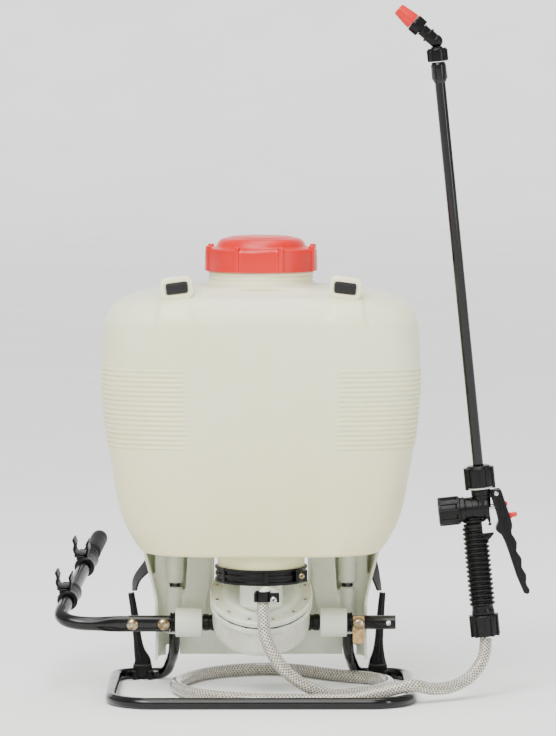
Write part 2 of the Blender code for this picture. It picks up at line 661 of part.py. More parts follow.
def lever_line():
    bend = Vector(ARM_BEND)
    arm = Vector(ARM_END) - bend
    flat_y = SHAFT_Y - SHAFT_RADIUS - GAP - LEVER_FLAT[0] / 2
    turn_in = ((-0.1600, flat_y, SHAFT_Z), (-0.1850, flat_y, SHAFT_Z),
               (-0.2050, flat_y + 0.0010, SHAFT_Z + 0.0008),
               (-0.2190, flat_y + 0.0070, SHAFT_Z + 0.0030), (-0.2258, flat_y + 0.0180, SHAFT_Z + 0.0062))
    return smooth_line(turn_in + (bend, bend + arm * 0.06), 16) + [Vector(ARM_END)]


def make_lever():
    flat_y = SHAFT_Y - SHAFT_RADIUS - GAP
    lever = bar("lever_arm", lever_line(), LEVER_RADIUS, "black_paint", resolution=3)
    flat = box("lever_flat", (-0.1700, flat_y - LEVER_FLAT[0], SHAFT_Z - LEVER_FLAT[1] / 2),
               (-0.1035, flat_y, SHAFT_Z + LEVER_FLAT[1] / 2), None, edge=0.0025)
    fuse(lever, flat)
    for name, x in LEVER_BOLTS:
        hole = rod_between("lever_hole", 0.0029, (x, flat_y - 0.02, SHAFT_Z), (x, flat_y + 0.01, SHAFT_Z),
                           steps=10)
        cut(lever, hole)
        bolt("lever_bolt_" + name, x, flat_y - LEVER_FLAT[0] - GAP, SHAFT_Y + 0.0115)


def arm_frame(name, distance):
    """An empty on the lever arm's line, its Z along the arm and its Y upwards."""
    bend = Vector(ARM_BEND)
    along = (Vector(ARM_END) - bend).normalized()
    left = Vector((0.0, 0.0, 1.0)).cross(along).normalized()
    up = along.cross(left)
    turn = Matrix((left, up, along)).transposed().to_euler()
    return guide(name, bend + along * distance, turn)


def make_lever_fittings():
    end = (Vector(ARM_END) - Vector(ARM_BEND)).length
    frame = arm_frame("lever_grip_frame", GRIP_START)
    length = end - GRIP_START
    profile = ((0.0, length + 0.0080), (0.0052, length + 0.0066), (0.0086, length + 0.0026),
               (0.0098, length - 0.0030),
               (0.0098, 0.0020), (0.0092, 0.0), (0.0082, 0.0), (0.0082, length + 0.0010),
               (0.0, length + 0.0010))
    turned("lever_grip", profile, "rubber", parent=frame, steps=20)
    for name, distance in CLIP_PLACES:
        make_wand_clip("wand_clip_" + name, arm_frame("clip_frame_" + name, distance))


def make_wand_clip(name, frame):
    """Saddle round the lever arm with a two-pronged cup above it that the wand snaps into."""
    cup = (0.0050, 0.0190, 0.0)
    clip = sleeve(name, LEVER_RADIUS + GAP, 0.0122, -0.0170, 0.0170, "black_plastic", parent=frame,
                  steps=20)
    block = box("clip_neck", (-0.0030, 0.0092, -0.0080), (0.0130, 0.0170, 0.0080), None, parent=frame)
    ring = rod("clip_cup", 0.0098, -0.0080, 0.0080, None, cup, parent=frame, steps=20)
    left_prong = box("clip_prong_left", (0.0118, 0.0185, -0.0075), (0.0143, 0.0350, 0.0075), None,
                     parent=frame)
    right_prong = box("clip_prong_right", (-0.0043, 0.0185, -0.0075), (-0.0018, 0.0320, 0.0075), None,
                      parent=frame)
    seat = rod("clip_seat", 0.0064, -0.03, 0.03, None, cup, parent=frame)
    mouth = box("clip_mouth", (-0.0007, 0.0195, -0.03), (0.0107, 0.0500, 0.03), None, parent=frame)
    fuse(clip, block, ring, left_prong, right_prong)
    cut(clip, seat, mouth)


def make_bracket():
    flat_y = SHAFT_Y - SHAFT_RADIUS - GAP
    bracket = box("stop_bracket", (BRACKET_X - 0.0065, flat_y - 0.0030, 0.0565),
                  (BRACKET_X + 0.0065, flat_y, 0.0880),
                  "zinc", edge=0.0006)
    cut(bracket, rod_between("bracket_hole", 0.0029, (BRACKET_X, 0.09, SHAFT_Z),
                             (BRACKET_X, 0.13, SHAFT_Z), steps=10))
    bolt("stop_bracket_bolt", BRACKET_X, flat_y - 0.0030 - GAP, SHAFT_Y + 0.0105)


def frame_half(side):
    """Centre line from the middle of the front rail to the top of one riser."""
    low = FRAME_RADIUS * cos(pi / 8)
    edge = FRAME_HALF_WIDTH
    front = arc((edge - FRAME_FRONT_CORNER, FRAME_FRONT_CORNER), FRAME_FRONT_CORNER, -90, 0, 7)
    back = arc((edge - FRAME_BACK_CORNER, FRAME_BACK - FRAME_BACK_CORNER), FRAME_BACK_CORNER, 0, 90, 6)
    flat = [(side * x, y, low) for x, y in front + back]
    turn_up = ((0.1215, FRAME_BACK, low), (0.1140, 0.2168, low + 0.0014), (0.1080, 0.2090, 0.0130),
               (0.1040, 0.1960, 0.0240), (0.1010, 0.1800, 0.0345), (0.0993, 0.1670, 0.0450), RISER_FOOT)
    rise = smooth_line(turn_up, 12) + [Vector(RISER_TOP)]
    return flat + [(side * p[0], p[1], p[2]) for p in rise]


def make_frame():
    left = frame_half(-1)
    right = frame_half(1)
    tube("base_frame", left[::-1] + right, FRAME_RADIUS, "black_paint", resolution=2, tilt=pi / 8,
         twist="Z_UP")


def make_hooks():
    for side, name, base, bottom, top in HOOKS:
        foot = box("strap_hook_" + name, (side * base - HOOK_HALF, 0.2095, 0.0030),
                   (side * base + HOOK_HALF, 0.2285, 0.0215), "black_plastic", edge=0.002)
        stations = (
            ((side * base, 0.2190, 0.0180), 0.0205, 0.0140, 0),
            ((side * (bottom + base) / 2, 0.2190, 0.0320), 0.0140, 0.0110, 0),
            ((side * bottom, 0.2190, 0.0450), 0.0100, 0.0090, 0),
            ((side * (bottom + top) / 2, 0.2190, 0.0760), 0.0085, 0.0080, 0),
            ((side * top, 0.2185, 0.1000), 0.0075, 0.0070, 0),
        )
        stem = ribbon("hook_stem", stations, None)
        clasp = rod("hook_bore", 0.0070, 0.10, 0.16, None, (0.0, FRAME_BACK, FRAME_RADIUS),
                    (0.0, side * pi / 2, 0.0))
        fuse(foot, stem)
        cut(foot, clasp)


def make_straps():
    for side, name, _, _, top in HOOKS:
        hook_top = top - 0.0035
        x = side * LUG_X
        box("strap_anchor_" + name, (x - 0.0120, LUG_Y - 0.0065, 0.4577),
            (x + 0.0120, LUG_Y + 0.0065, 0.4690),
            "black_plastic", edge=0.002)
        route = ((0.0432, 0.4642), (0.0600, 0.4648), (0.1100, 0.4652), (0.1500, 0.4648), (0.1780, 0.4638),
                 (0.1990, 0.4560), (0.2130, 0.4410), (0.2205, 0.4200), (0.2265, 0.3900), (0.2320, 0.3500),
                 (0.2350, 0.3050), (0.2350, 0.2620))
        widths = (0.024, 0.024, 0.024, 0.024, 0.025, 0.028, 0.040, 0.050, 0.052, 0.050, 0.046, 0.034)
        thick = (0.003, 0.003, 0.003, 0.003, 0.003, 0.004, 0.008, 0.011, 0.012, 0.012, 0.011, 0.006)
        stations = [((x, y, z), width, deep, 0) for (y, z), width, deep in zip(route, widths, thick)]
        ribbon("shoulder_strap_" + name, stations, "pad_cloth")
        buckle = box("strap_adjuster_" + name, (x - 0.0180, 0.2310, 0.2320), (x + 0.0180, 0.2390, 0.2615),
                     "black_plastic", edge=0.002)
        window = box("adjuster_window", (x - 0.0130, 0.22, 0.2400), (x + 0.0130, 0.25, 0.2450), None)
        cut(buckle, window)
        lower = (
            ((x, 0.2350, 0.2280), 0.025, 0.003, 0),
            ((side * 0.0990, 0.2385, 0.2050), 0.025, 0.003, side * 5),
            ((side * 0.1100, 0.2400, 0.1700), 0.025, 0.003, side * 20),
            ((side * 0.1240, 0.2370, 0.1380), 0.025, 0.003, side * 45),
            ((side * (hook_top - 0.004), 0.2320, 0.1160), 0.025, 0.003, side * 70),
            ((side * hook_top, 0.2290, 0.1010), 0.024, 0.003, side * 80),
        )
        ribbon("strap_webbing_" + name, refined(lower, 3), "webbing")


def make_hose():
    tube("hose", smooth_line(HOSE_ROUTE, HOSE_POINTS), HOSE_RADIUS, "hose_vinyl", resolution=2)
    clip = box("hose_clip", (-0.0080, 0.0045, 0.1178), (0.0200, 0.0195, 0.1236), "zinc", edge=0.001)
    head = ((0.0, 0.0060), (0.0018, 0.0060), (0.0018, -0.0008), (0.0027, -0.0008), (0.0027, -0.0030),
            (0.0, -0.0034))
    turned("hose_clip_screw", head, "zinc", (0.0135, 0.0045 - GAP, 0.1207), ALONG_Y, steps=12)
    screw_hole = rod_between("clip_screw_hole", 0.0023, (0.0135, -0.01, 0.1207), (0.0135, 0.0115, 0.1207),
                             steps=12)
    hole = rod("clip_bore", 0.0067, 0.10, 0.14, None, (0.0020, 0.0120, 0.0), steps=16)
    mouth = box("clip_mouth", (-0.02, 0.0130, 0.10), (0.03, 0.03, 0.14), None)
    cut(clip, hole, mouth, screw_hole)


def make_valve_body(frame):
    body = rod("valve_body", 0.0140, -0.0250, 0.0073, "black_plastic", turn=ALONG_X, parent=frame, steps=28)
    neck = rod("valve_neck", 0.0100, 0.0, 0.0380, None, parent=frame, steps=20)
    stub = rod("valve_stub", 0.0085, -0.0300, 0.0, None, (HANDLE_X, 0.0, 0.0), parent=frame, steps=20)
    pivot = (TRIGGER_PIVOT[0], 0.0, TRIGGER_PIVOT[1])
    lug = box("pivot_lug", (0.0020, -0.0040, pivot[2] - 0.0044), (pivot[0], 0.0040, pivot[2] + 0.0044),
              None,
              parent=frame)
    eye = rod("pivot_eye", 0.0044, -0.0040, 0.0040, None, pivot, ALONG_Y, frame, 16)
    catch = box("lock_catch", (0.0044, -0.0030, -0.0195), (0.0078, 0.0030, -0.0100), None, parent=frame)
    fuse(body, neck, stub, lug, eye, catch)
    chamber = rod("spring_chamber", 0.0095, -0.0300, -0.0040, None, turn=ALONG_X, parent=frame)
    stem_bore = rod("stem_bore", 0.0034, -0.0100, 0.0300, None, turn=ALONG_X, parent=frame, steps=16)
    up = rod("flow_up", 0.0043, 0.0, 0.0450, None, parent=frame, steps=16)
    down = rod("flow_down", 0.0040, -0.0350, 0.0, None, (HANDLE_X, 0.0, 0.0), parent=frame, steps=16)
    pin_hole = rod("pin_hole", 0.0027, -0.02, 0.02, None, pivot, ALONG_Y, frame, 12)
    cut(body, chamber, stem_bore, up, down, pin_hole)


def make_valve_parts(frame):
    cup = ((0.0, -0.0253), (0.0158, -0.0253), (0.0158, -0.0470), (0.0140, -0.0494), (0.0, -0.0494))
    cap = turned("valve_cap", cup, "black_plastic", turn=ALONG_X, parent=frame, steps=28)
    cut(cap, rod("cap_hollow", 0.0095, -0.0460, -0.0200, None, turn=ALONG_X, parent=frame))
    count = SPRING_TURNS * SPRING_SIDES
    wire = []
    for i in range(count + 1):
        angle = 2 * pi * i / SPRING_SIDES
        x = SPRING_START + (SPRING_END - SPRING_START) * i / count
        wire.append((x, SPRING_RADIUS * cos(angle), SPRING_RADIUS * sin(angle)))
    tube("valve_spring", wire, 0.0008, "steel", parent=frame, resolution=0)
    stem = ((0.0, 0.0212), (0.0012, 0.0209), (0.0024, 0.0194), (0.0030, 0.0175), (0.0030, -0.0045),
            (0.0085, -0.0045), (0.0085, -0.0065), (0.0, -0.0065))
    turned("valve_stem", stem, "steel", turn=ALONG_X, parent=frame, steps=16)


def make_handle(frame):
    at = (HANDLE_X, 0.0, 0.0)
    sleeve("grip", 0.0090, 0.0145, -0.1195, -0.0165, "black_plastic", at, parent=frame, steps=24)
    sleeve("inline_filter", 0.0066, 0.0082, -0.1120, -0.0310, "pale_seal", at, parent=frame, steps=16)
    nut = ((0.0065, -0.1198), (0.0158, -0.1198), (0.0167, -0.1215), (0.0160, -0.1420), (0.0150, -0.1442),
           (0.0065, -0.1442))
    turned("hose_nut", nut, "black_plastic", at, parent=frame, steps=28, ring=True)


def make_trigger(frame):
    turn = (pi / 2, 0.0, 0.0)
    outline = ((0.0120, 0.0165), (0.0135, 0.0198), (0.0160, 0.0210), (0.0205, 0.0212), (0.0262, 0.0120),
               (0.0292, 0.0), (0.0325, -0.0200),
               (0.0345, -0.0420), (0.0352, -0.0600), (0.0385, -0.0800), (0.0432, -0.0975),
               (0.0405, -0.1015),
               (0.0362, -0.0995), (0.0310, -0.0800), (0.0285, -0.0600), (0.0275, -0.0400),
               (0.0250, -0.0150),
               (0.0175, -0.0070), (0.0128, 0.0080))
    trigger = plate("trigger", outline, 0.0180, "black_plastic", turn=turn, parent=frame)
    channel = box("trigger_channel", (0.0, -0.0047, -0.0130), (0.0215, 0.0047, 0.0300), None, parent=frame)
    slot = box("lock_slot", (0.0100, -0.0037, -0.0290), (0.0450, 0.0037, -0.0040), None, parent=frame)
    pivot = (TRIGGER_PIVOT[0], 0.0, TRIGGER_PIVOT[1])
    hole = rod("trigger_hole", 0.0027, -0.02, 0.02, None, pivot, ALONG_Y, frame, 12)
    cut(trigger, hole, channel, slot)
    rod("trigger_pin", 0.0024, -0.0105, 0.0105, "steel", pivot, ALONG_Y, frame, 12)
    lock = ((0.0304, 0.0015), (0.0326, 0.0005), (0.0322, -0.0070), (0.0345, -0.0078), (0.0376, -0.0105),
            (0.0376, -0.0145), (0.0340, -0.0172), (0.0300, -0.0165), (0.0270, -0.0190), (0.0150, -0.0262),
            (0.0138, -0.0240), (0.0225, -0.0150), (0.0285, -0.0095), (0.0304, -0.0050))
    plate("trigger_lock", lock, 0.0066, "red_plastic", turn=turn, parent=frame)


def make_wand(frame):
    sleeve("wand_seal", 0.0103, 0.0152, 0.0216, 0.0233, "pale_seal", parent=frame, steps=24)
    nut = ((0.0062, 0.0478), (0.0130, 0.0478), (0.0155, 0.0455), (0.0167, 0.0425), (0.0167, 0.0236),
           (0.0103, 0.0236),
           (0.0103, 0.0386), (0.0062, 0.0386))
    turned("wand_nut", nut, "black_plastic", parent=frame, steps=28, ring=True)
    wand = ((0.0045, 0.5000), (0.0076, 0.5000), (0.0083, 0.4965), (0.0083, 0.4800), (WAND_RADIUS, 0.4765),
            (WAND_RADIUS, 0.0390), (0.0045, 0.0390))
    turned("wand_tube", wand, "black_paint", parent=frame, steps=20, ring=True)


def make_nozzle(frame):
    tip = guide("nozzle_frame", (0.0, 0.0, ELBOW_HEIGHT + KNEE_RISE), (0.0, NOZZLE_TURN, 0.0), frame)
    nut = ((0.0066, 0.5155), (0.0105, 0.5155), (0.0119, 0.5135), (0.0119, 0.5020), (0.0110, 0.5003),
           (0.0066, 0.5003))
    turned("elbow_nut", nut, "black_plastic", parent=frame, steps=24, ring=True)
    elbow = rod("elbow", 0.0062, 0.5006, ELBOW_HEIGHT, "black_plastic", parent=frame)
    ball = ((0.0, 0.0075), (0.0038, 0.0065), (0.0065, 0.0038), (0.0075, 0.0), (0.0065, -0.0038),
            (0.0038, -0.0065), (0.0, -0.0075))
    knee = turned("elbow_knee", ball, None, (0.0, 0.0, ELBOW_HEIGHT + 0.0062), parent=frame, steps=20)
    arm_profile = ((0.0, 0.0330), (0.0045, 0.0330), (0.0045, 0.0211), (0.0074, 0.0211), (0.0072, 0.0),
                   (0.0, 0.0))
    arm = turned("elbow_arm", arm_profile, None, parent=tip, steps=20)
    fuse(elbow, knee, arm)
    nut = ((0.0048, 0.0334), (0.0095, 0.0334), (0.0106, 0.0315), (0.0106, 0.0230), (0.0098, 0.0214),
           (0.0048, 0.0214))
    turned("nozzle_nut", nut, "black_plastic", parent=tip, steps=24, ring=True)
    cone = ((0.0, 0.0520), (0.0014, 0.0550), (0.0045, 0.0560), (0.0062, 0.0545), (0.0080, 0.0430),
            (0.0090, 0.0350),
            (0.0090, 0.0337), (0.0, 0.0337))
    turned("nozzle", cone, "red_plastic", parent=tip, steps=24)


def build():
    make_tank()
    make_skirt()
    make_cap()
    make_outlet_ring()
    pump = guide("pump_frame", PUMP_CENTRE, (PUMP_TILT, 0.0, 0.0))
    make_pump_cover(pump)
    make_pump_housing(pump)
    make_diaphragm(pump)
    make_valves()
    make_shaft()
    make_bushes()
    make_lever()
    make_lever_fittings()
    make_bracket()
    make_frame()
    make_hooks()
    make_straps()
    make_hose()
    handset = guide("handset_frame", HANDSET, (0.0, HANDSET_LEAN, 0.0))
    make_valve_body(handset)
    make_valve_parts(handset)
    make_handle(handset)
    make_trigger(handset)
    make_wand(handset)
    make_nozzle(handset)


build()
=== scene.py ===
"""Look of the backpack sprayer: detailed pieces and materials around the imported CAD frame.

Metres, +Z up, +X to the right of the tank's front face, +Y towards the wearer's back.
"""

import json
from math import cos, pi, radians, sin

import bmesh
import bpy
from mathutils import Matrix, Vector


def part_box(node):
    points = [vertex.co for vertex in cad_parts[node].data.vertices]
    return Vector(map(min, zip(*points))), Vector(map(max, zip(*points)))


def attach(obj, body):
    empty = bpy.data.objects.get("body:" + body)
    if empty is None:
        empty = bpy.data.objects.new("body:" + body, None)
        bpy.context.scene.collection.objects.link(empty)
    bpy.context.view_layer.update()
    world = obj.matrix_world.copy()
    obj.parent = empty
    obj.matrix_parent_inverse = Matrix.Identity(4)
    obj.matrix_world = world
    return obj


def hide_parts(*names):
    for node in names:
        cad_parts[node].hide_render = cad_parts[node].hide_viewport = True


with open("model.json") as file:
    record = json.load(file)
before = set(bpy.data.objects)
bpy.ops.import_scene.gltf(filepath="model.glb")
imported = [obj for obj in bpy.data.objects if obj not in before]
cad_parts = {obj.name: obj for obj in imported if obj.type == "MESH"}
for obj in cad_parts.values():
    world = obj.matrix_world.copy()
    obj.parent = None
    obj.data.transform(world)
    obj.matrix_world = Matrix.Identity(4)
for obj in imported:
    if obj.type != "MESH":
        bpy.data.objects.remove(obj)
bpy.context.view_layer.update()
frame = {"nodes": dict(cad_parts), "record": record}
JOINTS = {joint["name"]: joint for joint in frame["record"]["behaviour"]["joints"]}

ROOT = "sprayer"
UP = Vector((0.0, 0.0, 1.0))
SHARP = radians(38)

# Camera: where it stands, what it looks at, and its lens
CAMERA_AT = (0.0, -4.59, 0.75)
CAMERA_AIM = (0.019, 0.110, 0.3688)
CAMERA_LENS = 205.4

# Hose: the route that its centre follows, as in the CAD
FINE_STEPS = 12
HOSE_RADIUS = 0.0070
HOSE_ROUTE = (
    (0.0020, 0.0120, 0.1160), (0.0021, 0.0120, 0.1020), (0.0050, 0.0110, 0.0790),
    (0.0150, 0.0110, 0.0560), (0.0330, 0.0170, 0.0340), (0.0550, 0.0260, 0.0190),
    (0.0800, 0.0400, 0.0090), (0.1050, 0.0600, 0.0074), (0.1290, 0.0840, 0.0074),
    (0.1440, 0.1150, 0.0074), (0.1430, 0.1480, 0.0074), (0.1280, 0.1730, 0.0074),
    (0.1020, 0.1880, 0.0074), (0.0760, 0.2080, 0.0074), (0.0480, 0.2330, 0.0074),
    (0.0080, 0.2450, 0.0074), (-0.0330, 0.2350, 0.0074), (-0.0640, 0.2100, 0.0074),
    (-0.0840, 0.1760, 0.0074), (-0.0960, 0.1370, 0.0074), (-0.0930, 0.0990, 0.0074),
    (-0.0780, 0.0650, 0.0074), (-0.0530, 0.0400, 0.0074), (-0.0180, 0.0240, 0.0074),
    (0.0200, 0.0170, 0.0074), (0.0600, 0.0155, 0.0074), (0.1000, 0.0180, 0.0085),
    (0.1350, 0.0230, 0.0150), (0.1673, 0.0300, 0.0214), (0.1900, 0.0425, 0.0158),
    (0.2130, 0.0565, 0.0160), (0.2320, 0.0680, 0.0238), (0.2445, 0.0755, 0.0365),
    (0.2508, 0.0790, 0.0515), (0.2521, 0.0800, 0.0678),
)

# Tank: plan outlines as in the CAD: height, half width, depth to the front and to the back of the
# tank's middle plane, depth of the hollow for the wearer's back, and squareness of the corners
TANK_Y = 0.110
TANK_WALL = 0.003
TANK_AROUND = 224
TANK_OUTLINES = (
    (0.1660, 0.1300, 0.090, 0.080, 0.000, 3.4),
    (0.1685, 0.1365, 0.094, 0.086, 0.000, 3.4),
    (0.1900, 0.1495, 0.098, 0.092, 0.005, 3.4),
    (0.2130, 0.1585, 0.100, 0.094, 0.009, 3.4),
    (0.2550, 0.1665, 0.102, 0.095, 0.013, 3.4),
    (0.3070, 0.1750, 0.103, 0.094, 0.017, 3.4),
    (0.3610, 0.1787, 0.104, 0.094, 0.016, 3.4),
    (0.4150, 0.1764, 0.102, 0.096, 0.010, 3.4),
    (0.4300, 0.1725, 0.100, 0.096, 0.007, 3.4),
    (0.4417, 0.1635, 0.094, 0.092, 0.004, 3.4),
    (0.4507, 0.1480, 0.084, 0.084, 0.002, 3.3),
    (0.4560, 0.1310, 0.073, 0.075, 0.000, 3.0),
    (0.4605, 0.1050, 0.066, 0.068, 0.000, 2.6),
)
BAND_LOW = 0.2850
BAND_HIGH = 0.3760
BAND_INNER = 0.0850
BAND_GROOVES = 17
GROOVE_DEPTH = 0.0022
NECK_RADIUS = 0.0575
NECK_TOP = 0.4972
OUTLET_Y = 0.074
OUTLET_RADIUS = 0.0485
OUTLET_BOTTOM = 0.1390
LUG_X = 0.093
LUG_Y = 0.036

# Frame tube
FRAME_RADIUS = 0.0063
FRAME_HALF_WIDTH = 0.1673
FRAME_BACK = 0.219
FRAME_FRONT_CORNER = 0.047
FRAME_BACK_CORNER = 0.024
RISER_FOOT = (0.0987, 0.1580, 0.0600)
RISER_TOP = (0.0980, 0.1550, 0.1250)

# Strap hooks on the frame's back rail: side, name, and the places of the foot, the stem's bend and its top
HOOKS = ((-1, "left", 0.1370, 0.1425, 0.1500), (1, "right", 0.1345, 0.1360, 0.1400))

# Pump and shaft
PUMP_CENTRE = (0.0, 0.103, 0.110)
PUMP_TILT = radians(30)
SHAFT_Y = 0.1215
SHAFT_Z = 0.0793
SHAFT_RADIUS = 0.0080

# Lever arm: its bend and its end, and the clips' places along it
LEVER_RADIUS = 0.0078
ARM_BEND = Vector((-0.2262, 0.140, 0.0893))
ARM_END = Vector((-0.1930, 0.394, 0.1425))
GRIP_START = 0.190
CLIP_PLACES = (("lower", 0.051), ("upper", 0.168))

# Studio: the paper sweep's half width, where it bends up, its bend and its top, and the lights
PAPER_HALF = 14.0
PAPER_BEND_AT = 11.0
PAPER_BEND = 4.0
PAPER_TOP = 9.0
SKY_STRENGTH = 0.62
BANK_STRENGTH = 3.4
BANK_SPREAD = radians(50)
BANK_TURN = (radians(42), 0.0, radians(-18))
LIT_POINT = (0.0, 0.1, 0.30)
LIGHTS = (("key", (-1.2, -2.2, 2.4), (1.0, 0.8), 38.0), ("fill", (2.4, -2.0, 1.0), (0.4, 1.6), 22.0),
          ("top", (0.1, 0.2, 2.4), (1.2, 1.2), 30.0))

# Handset: distances along the wand's line, from the valve barrel's middle
HANDLE_X = -0.0105
WAND_RADIUS = 0.0059
ELBOW_AT = 0.5170
KNEE_AT = 0.5225
NOZZLE_TURN = radians(-43.15)


# ---------------------------------------------------------------- node helpers


class Nodes:
    """Builds one node material, with its patterns in metres of the CAD frame."""

    def __init__(self, name):
        self.material = bpy.data.materials.new(name)
        self.material.use_nodes = True
        self.tree = self.material.node_tree
        self.shader = self.tree.nodes["Principled BSDF"]
        self.place = self.add("ShaderNodeTexCoord").outputs["Object"]

    def add(self, kind, **settings):
        node = self.tree.nodes.new(kind)
        for name, value in settings.items():
            setattr(node, name, value)
        return node

    def link(self, source, target):
        self.tree.links.new(source, target)

    def put(self, socket, value):
        """Links an output, or sets a plain value."""
        if isinstance(value, bpy.types.NodeSocket):
            self.link(value, socket)
        else:
            socket.default_value = value

    def noise(self, scale, detail=3.0, roughness=0.55, stretch=(1.0, 1.0, 1.0)):
        mapping = self.add("ShaderNodeMapping")
        mapping.inputs["Scale"].default_value = stretch
        self.link(self.place, mapping.inputs["Vector"])
        node = self.add("ShaderNodeTexNoise")
        node.inputs["Scale"].default_value = scale
        node.inputs["Detail"].default_value = detail
        node.inputs["Roughness"].default_value = roughness
        self.link(mapping.outputs["Vector"], node.inputs["Vector"])
        return node.outputs["Fac"]

    def ramp(self, source, low, high, start=0.35, end=0.65):
        """A colour that runs from low to high as the source goes from start to end."""
        node = self.add("ShaderNodeValToRGB")
        node.color_ramp.elements[0].position = start
        node.color_ramp.elements[0].color = (*low, 1.0)
        node.color_ramp.elements[1].position = end
        node.color_ramp.elements[1].color = (*high, 1.0)
        self.link(source, node.inputs["Fac"])
        return node.outputs["Color"]

    def spread(self, source, low, high, start=0.3, end=0.7):
        """A number that runs from low to high as the source goes from start to end."""
        node = self.add("ShaderNodeMapRange")
        values = (("From Min", start), ("From Max", end), ("To Min", low), ("To Max", high))
        for name, value in values:
            node.inputs[name].default_value = value
        self.link(source, node.inputs["Value"])
        return node.outputs["Result"]

    def math(self, operation, a, b=0.0, c=0.0):
        node = self.add("ShaderNodeMath", operation=operation)
        for socket, value in zip(node.inputs, (a, b, c)):
            self.put(socket, value)
        return node.outputs["Value"]

    def mix(self, amount, a, b, blend="MIX"):
        node = self.add("ShaderNodeMix", data_type="RGBA", blend_type=blend)
        self.put(node.inputs["Factor"], amount)
        for socket, value in ((node.inputs["A"], a), (node.inputs["B"], b)):
            self.put(socket, (*value, 1.0) if isinstance(value, tuple) else value)
        return node.outputs["Result"]

    def bump(self, height, depth, under=None):
        node = self.add("ShaderNodeBump")
        node.inputs["Strength"].default_value = 1.0
        node.inputs["Distance"].default_value = depth
        self.link(height, node.inputs["Height"])
        if under is not None:
            self.link(under, node.inputs["Normal"])
        return node.outputs["Normal"]

    def edges(self, low, high):
        """1 on outer edges and 0 elsewhere, for wear and rubbed corners."""
        pointiness = self.add("ShaderNodeNewGeometry").outputs["Pointiness"]
        return self.spread(pointiness, 0.0, 1.0, low, high)

    def finish(self, colour, roughness, normal, **sockets):
        self.put(self.shader.inputs["Base Color"], colour)
        self.put(self.shader.inputs["Roughness"], roughness)
        self.link(normal, self.shader.inputs["Normal"])
        for name, value in sockets.items():
            self.shader.inputs[name.replace("_", " ")].default_value = value
        return self.material


def moulded(name, dark, light, roughness, grain=1400.0, depth=0.00004, tone=14.0, wear=None, **sockets):
    """Moulded plastic: slow changes of tone, a fine moulding grain and slightly rubbed edges."""
    nodes = Nodes(name)
    colour = nodes.ramp(nodes.noise(tone, 4.0), dark, light)
    if wear is not None:
        rubbed = nodes.math("MULTIPLY", nodes.edges(0.52, 0.60), nodes.spread(nodes.noise(90.0), 0.0, 0.6))
        colour = nodes.mix(rubbed, colour, wear)
    shine = nodes.spread(nodes.noise(55.0, 4.0), roughness - 0.06, roughness + 0.07)
    waves = nodes.bump(nodes.noise(60.0, 2.0), depth * 2.5)
    normal = nodes.bump(nodes.noise(grain, 2.0), depth, waves)
    return nodes.finish(colour, shine, normal, **sockets)


def painted(name, dark, light, roughness, **sockets):
    """Glossy paint: orange peel and faint dust."""
    nodes = Nodes(name)
    colour = nodes.ramp(nodes.noise(30.0, 5.0), dark, light)
    dust = nodes.spread(nodes.noise(420.0, 5.0, 0.7), 0.0, 0.04, 0.60, 0.78)
    colour = nodes.mix(dust, colour, (0.20, 0.19, 0.17))
    shine = nodes.spread(nodes.noise(120.0, 4.0), roughness - 0.05, roughness + 0.10)
    normal = nodes.bump(nodes.noise(520.0, 2.0), 0.00006)
    return nodes.finish(colour, shine, normal, **sockets)


def metal(name, dark, light, roughness, stretch=(1.0, 1.0, 1.0)):
    """Bare or plated metal: fine drawn lines, stains and a tint that shifts with the plating."""
    nodes = Nodes(name)
    colour = nodes.ramp(nodes.noise(230.0, 4.0, 0.6), dark, light, 0.38, 0.62)
    shine = nodes.spread(nodes.noise(600.0, 3.0, 0.6, stretch), roughness - 0.08, roughness + 0.12)
    normal = nodes.bump(nodes.noise(1500.0, 3.0, 0.6, stretch), 0.00002)
    return nodes.finish(colour, shine, normal, Metallic=1.0)


def cloth(name, dark, light, pitch, sheen):
    """Woven cloth: crossed threads with a loose, slightly faded tone."""
    nodes = Nodes(name)
    split = nodes.add("ShaderNodeSeparateXYZ")
    nodes.link(nodes.place, split.inputs["Vector"])
    turn = 2 * pi / pitch
    across = nodes.math("SINE", nodes.math("MULTIPLY", split.outputs["X"], turn))
    along = nodes.math("ADD", split.outputs["Z"], split.outputs["Y"])
    down = nodes.math("SINE", nodes.math("MULTIPLY", along, turn))
    weave = nodes.math("MULTIPLY", across, down)
    raised = nodes.spread(weave, 0.0, 1.0, -1.0, 1.0)
    threads = nodes.ramp(raised, dark, light, 0.2, 0.9)
    colour = nodes.mix(nodes.spread(nodes.noise(40.0, 4.0), 0.0, 0.35), threads, light)
    normal = nodes.bump(raised, 0.00025, nodes.bump(nodes.noise(900.0), 0.0001))
    return nodes.finish(colour, nodes.spread(raised, 0.95, 0.75, 0.0, 1.0), normal, Sheen_Weight=sheen)


